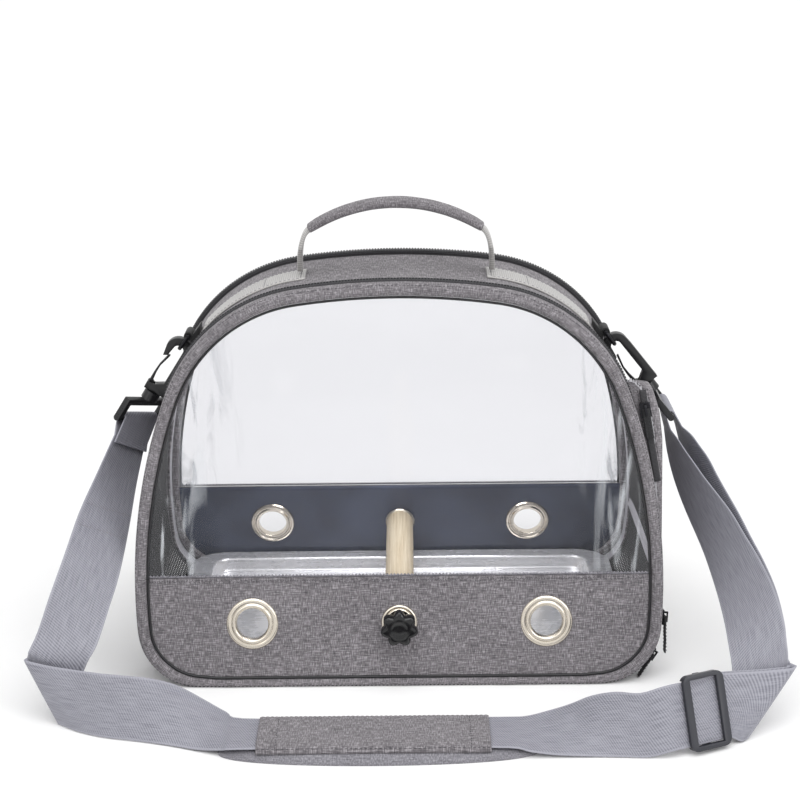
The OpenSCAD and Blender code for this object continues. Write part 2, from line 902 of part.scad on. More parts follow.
// Shoulder strap. A station is the two edges of the webbing, [ax, ay, az,
// bx, by, bz]; the route is a chain of stations.
left_fall = [
    [-193, -29, 153, -178, 3, 135],
    [-202, -52, 134, -181, -24, 115],
    [-211, -78, 115, -182, -58, 96],
    [-217, -106, 96, -184, -94, 77],
    [-223, -131, 78, -188, -117, 63],
    [-230, -140, 58, -192, -143, 50],
    [-235.2, -146, 47.4, -198, -149, 40],
    [-235.9, -145.7, 44.9, -206, -151.5, 21],
    [-236.8, -145.3, 42.3, -215.5, -154.6, 0.6],
];
left_floor = [
    [-236.3, -148.8, 41.7, -215.3, -157.4, 0.6],
    [-222, -152.5, 40, -208, -163, 0.6],
    [-204, -157, 39, -200, -168, 0.6],
    [-186, -162.5, 39, -186, -174, 0.6],
    [-170, -165, 38.5, -170, -178, 0.6],
    [-155, -162, 36, -155, -180, 0.6],
    [-140, -153, 28, -140, -182, 1],
    [-125, -147.5, 18, -125, -184, 1.6],
    [-110, -147.5, 10, -110, -187, 4.4],
    [-99, -150, 7, -99, -190, 7],
    [-40, -150.3, 7, -40, -190.3, 7],
    [20, -150.6, 7, 20, -190.6, 7],
    [67, -151, 7, 67, -191, 7],
    [80, -153, 8, 80, -193, 4.6],
    [93, -158, 12, 95, -197, 2.4],
    [106, -166, 19, 110, -200, 1.4],
    [119, -177, 29, 125, -203, 0.6],
    [133, -187, 35.5, 138, -205.5, 0.6],
    [147, -193, 37.5, 152, -206.2, 0.6],
];
adjuster_at = [190, -196, 4.9];
adjuster_heading = 24;
adjuster_lean = 71;
run_dir = [cos(adjuster_heading), sin(adjuster_heading), 0];
up_dir = [-sin(adjuster_heading) * cos(adjuster_lean),
    cos(adjuster_heading) * cos(adjuster_lean), sin(adjuster_lean)];
out_dir = cross(run_dir, up_dir);

// Station on the straight run, s along it and g behind the strap
function run_at(s, g = 0) = let (
        b = adjuster_at + s * run_dir - g * out_dir, a = b + strap_w * up_dir)
    [a[0], a[1], a[2], b[0], b[1], b[2]];

right_front = [
    [226, -169.5, 40, 211, -187.8, 1],
    [246.5, -162.5, 38.5, 213, -186.6, 0.6],
];
right_inner = [
    [244.3, -160.3, 38.5, 210.6, -184.3, 0.6],
    [226, -167.3, 40.2, 209.5, -185.4, 1],
];
right_return = [
    [187, -20.5, 149.5, 188.5, 18, 139.5],
    [191.5, -23, 144, 190, 12, 125],
    [196, -27, 137.5, 192.5, 3, 112],
    [201.5, -34, 130.5, 196, -9, 100],
    [207.5, -43.5, 123, 200, -23.5, 89.5],
    [214.5, -55.5, 115.5, 204, -40, 80.5],
    [221.5, -71, 108, 207, -58.5, 73],
    [227.5, -88.5, 99, 209, -78, 65.5],
    [234, -108, 89.5, 210, -98.5, 59],
    [239.5, -128, 78, 210, -121, 53],
    [243, -145.5, 63.5, 208.7, -145, 48],
    [243.8, -154.5, 52, 209, -163, 36],
    [244.3, -157.5, 44.5, 209.8, -174.5, 17.5],
];
layer_gap = [8, 10, 11, 11.5, 10, 8, 6, 5, 4, 3.2, 2.5, 2.2, 2.2];
crease_back = [246.5, -155.4, 38.5, 213.4, -179.6, 0.6];
crease_front = [244.3, -158, 38.5, 210.6, -182, 0.6];

function catmull(p, q, r, s, u) = 0.5 * (2 * q + (r - p) * u
    + (2 * p - 5 * q + 4 * r - s) * u * u + (3 * q - p - 3 * r + s) * u * u * u);
function smooth(list, k) = let (last = len(list) - 1) concat(
    [for (i = [0:last - 1]) for (j = [0:k - 1])
        catmull(list[max(i - 1, 0)], list[i], list[i + 1], list[min(i + 2, last)], j / k)],
    [list[last]]);

// The bar of an eye, and the webbing that goes round it from turn a0 to a1
function tilt_x(tilt) = [cos(tilt), 0, -sin(tilt)];
function tilt_z(tilt) = [sin(tilt), 0, cos(tilt)];
function bar_at(side, tilt) = [side * ring_tip[0], 0, ring_tip[1]] - (ring_lift + hook_len) * tilt_z(tilt);
function bar_dir(tilt, twist) = -sin(twist) * tilt_x(tilt) + cos(twist) * [0, 1, 0];
loop_r = eye_bar / 2 + seat_gap + strap_t / 2;
function round_bar(side, tilt, twist, a0, a1, n, flip) = let (
        c = bar_at(side, tilt), w = bar_dir(tilt, twist) * (strap_w / 2 - 0.2) * flip,
        up = tilt_z(tilt), out = cross(bar_dir(tilt, twist), up))
    [for (i = [0:n]) let (a = a0 + (a1 - a0) * i / n,
            m = c + loop_r * (cos(a) * out + sin(a) * up), p = m - w, q = m + w)
        [p[0], p[1], p[2], q[0], q[1], q[2]]];

left_tail = [
    [-192.4, -34.4, 149.5, -176.2, -3.4, 131.5],
    [-191.2, -29.9, 152.2, -176.1, 2.1, 135.3],
];

function side_a(s) = [s[0], s[1], s[2]];
function side_b(s) = [s[3], s[4], s[5]];
function middle(s) = (side_a(s) + side_b(s)) / 2;

// Unit normal of each station, from its width and the way the route runs
function normals(route) = [for (i = [0:len(route) - 1]) let (
        run = middle(route[min(i + 1, len(route) - 1)]) - middle(route[max(i - 1, 0)]),
        n = cross(side_b(route[i]) - side_a(route[i]), run)) n / norm(n)];

// The second layer of a doubled strap, in the reverse order
function other_layer(route, gaps) = let (n = normals(route), last = len(route) - 1)
    [for (k = [0:last]) let (i = last - k, off = -gaps[i] * n[i],
            a = side_a(route[i]) + off, b = side_b(route[i]) + off)
        [a[0], a[1], a[2], b[0], b[1], max(b[2], 0.6)]];

module ribbon(route, t) {
    last = len(route) - 1;
    n = normals(route) * t / 2;
    points = [for (i = [0:last]) each [
        side_a(route[i]) - n[i], side_b(route[i]) - n[i],
        side_b(route[i]) + n[i], side_a(route[i]) + n[i]]];
    walls = [for (i = [0:last - 1]) for (k = [0:3]) let (p = 4 * i + k, q = 4 * i + (k + 1) % 4)
        each k == 2 ? [[p, q, p + 4], [q, q + 4, p + 4]] : [[p, q, q + 4], [p, q + 4, p + 4]]];
    end = 4 * last;
    caps = [[0, 3, 2], [0, 2, 1], [end, end + 1, end + 2], [end, end + 2, end + 3]];
    polyhedron(points = points, faces = concat(walls, caps));
}

strap_route = concat(
    left_tail,
    round_bar(-1, left_tilt, left_twist, 32, 227, 9, 1),
    smooth(left_fall, 2),
    [[-238.3, -147.4, 42, -217.3, -156, 0.6]],
    smooth(concat(left_floor, [run_at(-26), run_at(-12), run_at(2), run_at(15)], right_front), 2),
    [[249.6, -159.2, 38.5, 216, -183.2, 0.6]],
    smooth(concat([crease_back], other_layer(right_return, layer_gap)), 2),
    round_bar(1, right_tilt, right_twist, -10, 190, 8, 1),
    smooth(concat(right_return, [crease_front]), 2),
    [[245.7, -159.2, 38.5, 211.9, -183.2, 0.6]],
    smooth(concat(right_inner, [run_at(18, 5.8), run_at(12, 6.6)]), 2));

module shoulder_strap() {
    color(webbing_grey) ribbon(strap_route, strap_t);
}

// The far end of the strap, sewn round the adjuster's middle bar
module strap_end() {
    color(webbing_grey) ribbon([
        run_at(16, 1.85), run_at(4, 1.85), run_at(-1.8, 1.9), run_at(-2.9, 2.35),
        run_at(-3.3, 3.3), run_at(-3.3, 5.1), run_at(-2.9, 6.05), run_at(-1.8, 6.55),
        run_at(3, 6.6), run_at(7, 5.6), run_at(11, 4.1), run_at(16, 3.85)], strap_t);
}

// Pad on the strap
pad_x0 = -88;
pad_x1 = 56;
strap_rest_z = 7;
pad_mid_y = -170.5;
sleeve_t = 1.2;
sleeve_gap = 0.6;
backing_t = strap_rest_z - strap_t / 2 - sleeve_gap + 0.3;

module shoulder_pad() {
    half = strap_w / 2 + sleeve_gap;
    top = strap_rest_z + strap_t / 2 + 0.35;
    color(linen) translate([pad_x0, pad_mid_y, 0]) {
        translate([0, -half - sleeve_t, top]) cube([pad_x1 - pad_x0, 2 * half + 2 * sleeve_t, sleeve_t]);
        for (y = [-half - sleeve_t, half])
            translate([0, y, backing_t]) cube([pad_x1 - pad_x0, sleeve_t, top - backing_t + 0.1]);
    }
}

// The backing bulges to the front and thins towards its ends
back_x0 = -113;
back_x1 = 87;
back_cols = 32;
back_rows = 12;
function back_u(i) = -cos(180 * i / back_cols);
function back_front(u) = -190 - 22 * pow(1 - u * u, 0.7) + 9 * pow(abs(u), 8);
function back_rear(u) = -147.5 - 8 * pow(abs(u), 8);
function back_thick(u, v) = 1.4
    + (backing_t - 1.45) * (1 - pow(abs(u), 10)) * (1 - pow(abs(v), 6));
function back_point(i, j, top) = let (
        u = back_u(i), v = -cos(180 * j / back_rows), draw = top ? 1 : 0.96,
        mid = (back_front(u) + back_rear(u)) / 2, half = (back_rear(u) - back_front(u)) / 2)
    [(back_x0 + back_x1) / 2 + (back_x1 - back_x0) / 2 * u * (top ? 1 : 0.985),
        mid + half * v * draw, top ? back_thick(u, v) : 0.02];

module pad_backing() {
    row = back_rows + 1;
    sheet = row * (back_cols + 1);
    points = concat(
        [for (i = [0:back_cols]) for (j = [0:back_rows]) back_point(i, j, true)],
        [for (i = [0:back_cols]) for (j = [0:back_rows]) back_point(i, j, false)]);
    tops = [for (i = [0:back_cols - 1]) for (j = [0:back_rows - 1]) let (p = i * row + j)
        each [[p, p + 1, p + row + 1], [p, p + row + 1, p + row]]];
    floors = [for (f = tops) [f[0] + sheet, f[2] + sheet, f[1] + sheet]];
    rim_loop = concat(
        [for (i = [0:back_cols - 1]) i * row],
        [for (j = [0:back_rows - 1]) back_cols * row + j],
        [for (i = [back_cols:-1:1]) i * row + back_rows],
        [for (j = [back_rows:-1:1]) j]);
    n = len(rim_loop);
    sides = [for (k = [0:n - 1]) let (p = rim_loop[k], q = rim_loop[(k + 1) % n])
        each [[p, q, q + sheet], [p, q + sheet, p + sheet]]];
    color([0.62, 0.62, 0.64]) polyhedron(points = points, faces = concat(tops, floors, sides));
}

// Adjuster. X along the strap, Y across it, Z out of it.
adjuster_bar = 2.8;
adjuster_side = 5;
adjuster_t = 2.5;
adjuster_gap = 0.5;
adjuster_round = 5;
middle_bar_z = 2.95;

module strap_adjuster() {
    slot = strap_w + 1;
    level = strap_t / 2 + adjuster_gap;
    half = slot / 2 + adjuster_bar;
    arm = 2.4;
    in_x = adjuster_l / 2 - adjuster_round;
    in_y = half - adjuster_round;
    color(charcoal) translate(adjuster_at + up_dir * strap_w / 2)
        rotate([0, 0, adjuster_heading]) rotate([adjuster_lean, 0, 0]) {
            intersection() {
                linear_extrude(height = 20, center = true) hull() for (x = [-in_x, in_x])
                    for (y = [-in_y, in_y]) translate([x, y]) circle(adjuster_round);
                union() {
                    for (x = [-adjuster_l / 2, adjuster_l / 2 - adjuster_side])
                        translate([x, -half, level]) cube([adjuster_side, 2 * half, adjuster_t]);
                    for (y = [-half, slot / 2])
                        translate([-adjuster_l / 2, y, -level])
                            cube([adjuster_l, adjuster_bar, 2 * level + adjuster_t]);
                }
            }
            for (y = [-slot / 2 - arm, slot / 2])
                translate([-2, y, -middle_bar_z - adjuster_t])
                    cube([4, arm, middle_bar_z + adjuster_t - level + 0.5]);
            translate([-2, -slot / 2 - arm, -middle_bar_z - adjuster_t])
                cube([4, slot + 2 * arm, adjuster_t]);
        }
}

base_panel();
base_board();
left_side_panel();
right_side_panel();
side_mesh();  // left_side_mesh
mirror([1, 0, 0]) side_mesh();  // right_side_mesh
top_gusset();
side_pocket();
pocket_zipper();
pocket_slider();
pocket_pull();
face_zipper();  // front_zipper
at_back() face_zipper();  // back_zipper
lower_panel();  // front_lower_panel
at_back() lower_panel();  // back_lower_panel
lower_linings();
lower_rim();  // front_lower_rim
at_back() lower_rim();  // back_lower_rim
lower_piping();  // front_lower_piping
at_back() lower_piping();  // back_lower_piping
window();  // front_window
at_back() window();  // back_window
window_rim();  // front_window_rim
at_back() window_rim();  // back_window_rim
window_piping();  // front_window_piping
at_back() window_piping();  // back_window_piping
grommet_pair();  // front_grommets
at_back() grommet_pair();  // back_grommets
perch_eyelets();
perch();
perch_inserts();
knob();  // front_knob
at_back() knob();  // back_knob
knob_stud();  // front_knob_stud
at_back() knob_stud();  // back_knob_stud
tray();
upper_slider();  // front_upper_slider
upper_pull();  // front_upper_pull
lower_slider();  // front_lower_slider
lower_pull();  // front_lower_pull
at_back() upper_slider();  // back_upper_slider
at_back() upper_pull();  // back_upper_pull
at_back() lower_slider();  // back_lower_slider
at_back() lower_pull();  // back_lower_pull
handle_anchors();
handle_webbing();
handle_grip();
ring_tabs();
d_rings();
left_hook();
right_hook();
left_hook_gate();
right_hook_gate();
left_swivel_eye();
right_swivel_eye();
shoulder_strap();
strap_end();
shoulder_pad();
pad_backing();
strap_adjuster();
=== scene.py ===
# %% [markdown]
# # A soft travel carrier for a small bird
# The bag is an arched shell of heathered cloth with a clear window in the
# front and the back. Everything soft is built here in mesh code round the
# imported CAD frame; hard parts are merged copies of the CAD with their edges
# rounded. Lengths are written in millimetres, as on a pattern sheet, and each
# piece is scaled to metres when it is finished.

# %% Load the frame
import math

import bmesh
import bpy
from mathutils import Matrix, Vector, noise


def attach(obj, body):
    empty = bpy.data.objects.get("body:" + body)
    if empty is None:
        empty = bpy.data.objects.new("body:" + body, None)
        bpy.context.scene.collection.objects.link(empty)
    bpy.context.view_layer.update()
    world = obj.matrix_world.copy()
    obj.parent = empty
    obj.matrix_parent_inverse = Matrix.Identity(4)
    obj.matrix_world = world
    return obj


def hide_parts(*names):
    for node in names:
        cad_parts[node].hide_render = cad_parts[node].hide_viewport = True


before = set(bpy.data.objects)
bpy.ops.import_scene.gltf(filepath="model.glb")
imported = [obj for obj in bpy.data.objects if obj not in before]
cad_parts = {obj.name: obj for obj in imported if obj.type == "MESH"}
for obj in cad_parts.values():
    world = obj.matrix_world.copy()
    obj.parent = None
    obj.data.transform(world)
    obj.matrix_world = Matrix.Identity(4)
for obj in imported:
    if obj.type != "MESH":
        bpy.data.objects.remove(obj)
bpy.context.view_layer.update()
MM = 0.001

# %% [markdown]
# The camera stands where the photograph's did: a little above the bag, 1.15 m
# in front of it, with a long lens. The direction comes from a pitch, a small
# turn and a small roll, so three unit vectors give the camera's axes.

# %% Camera
PITCH, TURN, ROLL = 0.2985, -0.0055, -0.0118
CAMERA_AT, LENS, SENSOR = (0.008, -1.155, 0.522), 78.3, 36.0
look = Vector((math.sin(TURN) * math.cos(PITCH), math.cos(TURN) * math.cos(PITCH),
               -math.sin(PITCH)))
level = Vector((math.cos(TURN), -math.sin(TURN), 0))
lift = level.cross(look)
right = math.cos(ROLL) * level + math.sin(ROLL) * lift
up = right.cross(look)
axes = Matrix((right, up, -look)).transposed().to_4x4()
camera_data = bpy.data.cameras.new("photo_camera")
camera_data.lens, camera_data.sensor_width = LENS, SENSOR
camera = bpy.data.objects.new("photo_camera", camera_data)
camera.matrix_world = Matrix.Translation(CAMERA_AT) @ axes
bpy.context.scene.collection.objects.link(camera)
bpy.context.scene.camera = camera
bpy.context.scene.view_settings.view_transform = "Standard"
print("camera", [round(v, 3) for v in camera.matrix_world.translation])

# %% [markdown]
# Materials are built from nodes. One function turns a hex colour, as a paint
# chart gives it, to the linear colour Blender wants, and one adds a node with
# its settings and links. The others are short names for the nodes that come
# back in nearly every material.

# %% Colour and node helpers
def linear(code):
    """The sRGB colour '#rrggbb' as a linear colour."""
    channels = [int(code[i:i + 2], 16) / 255 for i in (1, 3, 5)]
    return tuple(c / 12.92 if c <= 0.04045 else ((c + 0.055) / 1.055) ** 2.4
                 for c in channels) + (1.0,)


def add(tree, kind, settings=None, inputs=None, stops=()):
    """Adds a node. inputs are values or the sockets that feed it, stops a ramp's colours."""
    new = tree.nodes.new("ShaderNode" + kind)
    for key, value in (settings or {}).items():
        setattr(new, key, value)
    for key, value in (inputs or {}).items():
        if isinstance(value, bpy.types.NodeSocket):
            tree.links.new(value, new.inputs[key])
        else:
            new.inputs[key].default_value = value
    for k, (place, code) in enumerate(stops):
        stop = new.color_ramp.elements[k] if k < 2 else new.color_ramp.elements.new(place)
        stop.position, stop.color = place, linear(code)
    return new


def maths(tree, operation, *values):
    """The result of a Math node on numbers or sockets."""
    return add(tree, "Math", {"operation": operation}, dict(enumerate(values))).outputs[0]


def clouds(tree, at, scale, detail, distortion=0.0):
    """Smooth noise with bumps 1 / scale mm wide."""
    return add(tree, "TexNoise", inputs={"Vector": at, "Scale": scale, "Detail": detail,
                                         "Distortion": distortion}).outputs[0]


def mapped(tree, value, low, high, to_low=0.0, to_high=1.0, kind="LINEAR"):
    """A value between low and high, mapped to a place between to_low and to_high."""
    return add(tree, "MapRange", {"interpolation_type": kind},
               {0: value, 1: low, 2: high, 3: to_low, 4: to_high}).outputs[0]


def ramp_of(tree, value, *stops):
    """A value's colour on a ramp of (place, colour) stops."""
    return add(tree, "ValToRGB", inputs={0: value}, stops=stops).outputs[0]


def blend(tree, share, first, second):
    """The first colour, with a share of the second one."""
    return add(tree, "Mix", {"data_type": "RGBA"}, {0: share, 6: first, 7: second}).outputs[2]


def finish(name, colour, roughness, **more):
    """A new material: its node tree and its Principled shader."""
    made = bpy.data.materials.new(name)
    made.use_nodes = True
    shader = made.node_tree.nodes["Principled BSDF"]
    shader.inputs["Base Color"].default_value = linear(colour)
    shader.inputs["Roughness"].default_value = roughness
    for key, value in more.items():
        shader.inputs[key.replace("_", " ")].default_value = value
    return made, made.node_tree, shader


def paint(tree, shader, colour):
    """Feeds a colour to the shader."""
    tree.links.new(colour, shader.inputs["Base Color"])


def bump(tree, shader, height, strength, depth):
    """Feeds a height pattern, depth mm deep, to the shader's normal."""
    made = add(tree, "Bump", inputs={"Strength": strength, "Distance": depth * MM,
                                     "Height": height})
    tree.links.new(made.outputs[0], shader.inputs["Normal"])


# %% [markdown]
# Cloth patterns follow the cut of the cloth, so every cloth piece carries a UV
# map called weave, in metres. Scaled by 1000 it is in millimetres, and a
# thread 0.9 mm apart is simply a pattern with that period.

# %% Pattern coordinates
WAVE_PERIOD = 0.314159  # length of one wave at scale 1


def in_mm(tree, metres):
    """Coordinates in metres, turned to millimetres."""
    return add(tree, "Mapping", inputs={"Vector": metres, "Scale": (1000, 1000, 1000)}).outputs[0]


def weave_mm(tree):
    """The piece's own cloth coordinates, in millimetres."""
    return in_mm(tree, add(tree, "UVMap", {"uv_map": "weave"}).outputs[0])


def object_mm(tree):
    """Object coordinates, in millimetres."""
    return in_mm(tree, add(tree, "TexCoord").outputs["Object"])


def streaks(tree, at, wide, long, along, detail=2.0):
    """Noise drawn out into streaks, wide by long mm, that run along x or y."""
    scale = (1 / long, 1 / wide, 1) if along == "x" else (1 / wide, 1 / long, 1)
    drawn = add(tree, "Mapping", inputs={"Vector": at, "Scale": scale})
    return clouds(tree, drawn.outputs[0], 1.0, detail)


def plain_weave(tree, at, pitch):
    """Height of a plain weave with threads pitch mm apart."""
    warp, weft = (add(tree, "TexWave", {"bands_direction": axis},
                      {"Vector": at, "Scale": WAVE_PERIOD / pitch}).outputs["Fac"]
                  for axis in "XY")
    over = add(tree, "TexChecker", inputs={"Vector": at, "Scale": 1 / pitch})
    return add(tree, "Mix", inputs={0: over.outputs["Fac"], 2: warp, 3: weft}).outputs[0]


# %% [markdown]
# The bag's cloth is a heathered polyester oxford: a plain weave of thick and
# thin yarns in two greys, coated on the back. The eye reads it as grey with
# short light and dark dashes both ways. The dashes are noise drawn out along
# the warp and the weft, and the weave is two sets of waves that a checker
# pattern swaps, over and under. Real yarn here is about 0.6 mm apart; it is
# drawn at 0.9 mm so that it shows at the photograph's size.

# %% Heathered oxford
THREAD = 0.9


def oxford_cloth(name, dark, middle, light):
    """Heathered cloth in three greys."""
    made, tree, shader = finish(name, middle, 0.88, Sheen_Weight=0.15, Sheen_Roughness=0.5)
    at = weave_mm(tree)
    warp = streaks(tree, at, 0.6, 4.0, "y")
    weft = streaks(tree, at, 0.55, 6.5, "x")
    both = maths(tree, "ADD", warp, weft)
    tone = maths(tree, "MULTIPLY_ADD", clouds(tree, at, 0.03, 2.0), 0.16, both)
    tone = maths(tree, "MULTIPLY", tone, 0.463)
    paint(tree, shader, ramp_of(tree, tone, (0.36, dark), (0.62, light), (0.50, middle)))
    rough = maths(tree, "MULTIPLY_ADD", both, 0.6, plain_weave(tree, at, THREAD))
    bump(tree, shader, rough, 0.55, 0.3)
    return made


OXFORD = oxford_cloth("heathered_oxford", "#4a474b", "#757175", "#a8a4a8")
BACKING = oxford_cloth("pale_knit_backing", "#605f65", "#838188", "#a5a4aa")
print("cloths", OXFORD.name, BACKING.name)

# %% [markdown]
# The side walls and the top are lined with a plain grey taffeta, finer and
# flatter than the outside.

# %% Lining cloth
LINING, tree, shader = finish("grey_taffeta_lining", "#b4b3b8", 0.75)
at = weave_mm(tree)
fine = streaks(tree, at, 0.6, 12.0, "x")
paint(tree, shader, ramp_of(tree, fine, (0.3, "#a5a4a9"), (0.7, "#c3c2c7")))
bump(tree, shader, plain_weave(tree, at, 0.7), 0.3, 0.12)

# %% [markdown]
# The lower panels are lined with calendered PVC sheet, dark blue-grey and
# half-glossy, so that droppings wipe off. Calendering leaves a fine pebble
# grain, and the sheet's colour is a little uneven.

# %% PVC lining
PVC, tree, shader = finish("calendered_pvc_lining", "#363d52", 0.27, IOR=1.45)
at = object_mm(tree)
cloud = clouds(tree, at, 0.02, 3.0)
paint(tree, shader, ramp_of(tree, cloud, (0.35, "#2b3146"), (0.65, "#434b62")))
pebble = add(tree, "TexVoronoi", inputs={"Vector": at, "Scale": 1 / 1.1})
bump(tree, shader, pebble.outputs["Distance"], 0.04, 0.05)

# %% [markdown]
# The window is a clear, soft PVC film. It shows what is behind it nearly
# unchanged, so a glossy shader is mixed over a transparent one by Fresnel,
# with a trace of milky haze. Close to the bag's sides the film is creased,
# and there tall, pale streaks of diffuse white are painted glare: a painted
# reflection of the creases.

# %% Clear window film
FLANK = (112.0, 160.0)  # mm from the middle, where the creases begin and are full

FILM = bpy.data.materials.new("clear_pvc_film")
FILM.use_nodes = True
tree = FILM.node_tree
tree.nodes.remove(tree.nodes["Principled BSDF"])
at = object_mm(tree)
bent = add(tree, "Bump", inputs={"Strength": 0.4, "Distance": 1.2 * MM,
                                 "Height": clouds(tree, at, 0.025, 2.0, 0.6)}).outputs[0]
aside = maths(tree, "ABSOLUTE", add(tree, "SeparateXYZ", inputs={0: at}).outputs[0])
flank = mapped(tree, aside, *FLANK, kind="SMOOTHSTEP")
tall = add(tree, "Mapping", inputs={"Vector": at, "Scale": (1.0, 0.2, 0.16)}).outputs[0]
crinkle = clouds(tree, tall, 0.075, 4.0, 1.2)
crease = mapped(tree, crinkle, 0.5, 0.72, to_high=0.5, kind="SMOOTHSTEP")
# The pale streaks in the creases are painted glare, a painted reflection laid on as diffuse haze;
# the small constant share is real milky haze.
painted_glare_and_haze = maths(tree, "MULTIPLY_ADD", crease, flank, 0.008)
edge_on = add(tree, "Fresnel", inputs={"IOR": 1.27, "Normal": bent}).outputs[0]
clear = add(tree, "BsdfTransparent", inputs={"Color": linear("#f9f9fa")}).outputs[0]
haze = add(tree, "BsdfDiffuse", inputs={"Color": linear("#e8ecf0")}).outputs[0]
gloss = add(tree, "BsdfAnisotropic", inputs={"Color": linear("#ffffff"), "Roughness": 0.1,
                                             "Normal": bent}).outputs[0]
misty = add(tree, "MixShader", inputs={0: painted_glare_and_haze, 1: clear, 2: haze}).outputs[0]
film = add(tree, "MixShader", inputs={0: edge_on, 1: misty, 2: gloss}).outputs[0]
tree.links.new(film, tree.nodes["Material Output"].inputs["Surface"])

# %% [markdown]
# Webbing is nylon, woven flat: fine ribs lie slanted across it, with a smooth
# woven selvage along each edge that is painted in the light colour as a
# painted highlight. The shoulder strap is mid grey; the handle's
# narrower webbing is paler and shinier, of flat polypropylene tape.

# %% Webbing
def webbing(name, dark, light, roughness, width, slant):
    """Woven tape of that width in mm, with ribs that lie at slant degrees."""
    made, tree, shader = finish(name, light, roughness, Sheen_Weight=0.1)
    at = weave_mm(tree)
    turned = add(tree, "Mapping", inputs={"Vector": at, "Rotation": (0, 0, math.radians(slant))})
    ribs = add(tree, "TexWave", {"bands_direction": "X"},
               {"Vector": turned.outputs[0], "Scale": WAVE_PERIOD / 1.5, "Distortion": 0.4,
                "Detail": 1.0, "Detail Scale": 1.0}).outputs["Fac"]
    yarns = streaks(tree, at, 0.7, 14.0, "y")
    tone = maths(tree, "MULTIPLY_ADD", ribs, 0.45, yarns)
    off = maths(tree, "ABSOLUTE", add(tree, "SeparateXYZ", inputs={0: at}).outputs[0])
    # A band along each edge is painted in the light colour: a painted highlight on the selvages.
    painted_edge_highlight = mapped(tree, off, width / 2 - 1.6, width / 2 - 0.9, kind="SMOOTHSTEP")
    woven = ramp_of(tree, tone, (0.35, dark), (0.95, light))
    paint(tree, shader, blend(tree, painted_edge_highlight, woven, linear(light)))
    bump(tree, shader, maths(tree, "MULTIPLY_ADD", yarns, 0.4, ribs), 0.6, 0.35)
    return made


STRAP = webbing("nylon_strap_webbing", "#6e6e78", "#9e9ea8", 0.55, 40, 62)
TAPE = webbing("pale_handle_tape", "#8c8a89", "#b9b7b5", 0.36, 24, 90)

# %% [markdown]
# Plastic parts: moulded acetal for the hooks and eyes, glossy ABS for the star
# knobs and satin nylon for the adjuster. Moulded plastic shows a faint
# orange-peel.

# %% Plastics
def moulded(name, colour, roughness, grain):
    """Injection-moulded plastic with a fine skin texture, grain in mm."""
    made, tree, shader = finish(name, colour, roughness, IOR=1.5)
    skin = clouds(tree, object_mm(tree), 1 / grain, 3.0)
    worn = mapped(tree, skin, 0.3, 0.7, roughness - 0.06, roughness + 0.1)
    tree.links.new(worn, shader.inputs["Roughness"])
    bump(tree, shader, skin, 0.25, 0.08)
    return made


ACETAL = moulded("black_acetal", "#0e0f12", 0.32, 0.9)
KNOB = moulded("glossy_black_abs", "#08090b", 0.16, 2.5)
NYLON = moulded("charcoal_nylon", "#2b2c33", 0.38, 0.9)
TEETH = moulded("black_zipper_coil", "#222226", 0.36, 0.6)
GREY_TEETH = moulded("grey_zipper_coil", "#77767b", 0.4, 0.5)
PIPING = moulded("black_pvc_piping", "#18181b", 0.42, 1.4)

# %% [markdown]
# Net, zipper tape and pulls are black polyester, woven plain. Sewing thread
# is a plain colour, since a stitch is too small to show more.

# %% Black polyester cloth
def black_cloth(name, colour, pitch):
    """Plain black polyester weave, threads pitch mm apart."""
    made, tree, shader = finish(name, colour, 0.7, Sheen_Weight=0.1)
    threads = plain_weave(tree, weave_mm(tree), pitch)
    paint(tree, shader, ramp_of(tree, threads, (0.1, "#0b0b0d"), (0.95, colour)))
    bump(tree, shader, threads, 0.5, 0.25)
    return made


ZIP_TAPE = black_cloth("black_zipper_tape", "#4a494d", 0.9)
NET = black_cloth("black_polyester_net", "#1d1d21", 0.5)
PULL = black_cloth("black_pull_cloth", "#1c1c20", 1.0)
THREAD_GREY = finish("grey_sewing_thread", "#8f8d92", 0.6)[0]
THREAD_DARK = finish("dark_sewing_thread", "#3f3d42", 0.6)[0]

# %% [markdown]
# Metals. The tray is stainless sheet, polished, with faint buffing lines. It
# is only half metallic, its other half a near-white diffuse colour that is a
# painted reflection of the bright surround, so that it comes out as pale as in
# the photograph.
# The eyelets are nickel-plated brass, warmer and softly worn; rings and
# sliders are steel under a black finish.

# %% Metals
def plated(name, colour, roughness, long, wide, metallic=1.0):
    """Metal with buffing lines, long by wide mm."""
    made, tree, shader = finish(name, colour, roughness, Metallic=metallic)
    at = object_mm(tree)
    lines = streaks(tree, at, wide, long, "x", 3.0)
    mixed = maths(tree, "MULTIPLY_ADD", lines, 0.5, clouds(tree, at, 0.05, 4.0))
    worn = mapped(tree, mixed, 0.5, 1.0, roughness * 0.7, roughness * 1.5)
    tree.links.new(worn, shader.inputs["Roughness"])
    bump(tree, shader, lines, 0.08, 0.05)
    return made


# The near-white base at half metallic is a painted reflection: it stands in for the tray's bright
# reflections.
STEEL = plated("polished_stainless", "#f1f1f3", 0.24, 60, 0.7, metallic=0.5)
NICKEL = plated("nickel_plated_brass", "#d2cabd", 0.2, 8, 0.5)
BLACK_STEEL = plated("blackened_steel", "#2c2c2f", 0.3, 6, 0.5)

# %% [markdown]
# The perch is a turned dowel of pale beech, sanded and left bare. Its grain
# runs along it: long streaks, with fine darker pores.

# %% Beech
BEECH, tree, shader = finish("bare_beech", "#cdb999", 0.6)
at = object_mm(tree)
grain = ramp_of(tree, streaks(tree, at, 1.6, 60, "y", 4.0),
                (0.3, "#cdb998"), (0.7, "#ecdfc6"), (0.5, "#dfcfb2"))
pores = streaks(tree, at, 0.5, 7, "y")
dark = mapped(tree, pores, 0.62, 0.75, to_high=0.35)
paint(tree, shader, blend(tree, dark, grain, linear("#a8936f")))
bump(tree, shader, pores, 0.2, 0.15)

# %% [markdown]
# The face of the bag is an arch made of four arcs on each side: a tight bottom
# corner, a long side, the shoulder and the shallow top. A place on it is s mm
# along from the middle of the base, and d mm in from the edge. Both faces lean
# in, so a depth n behind the face gives y.

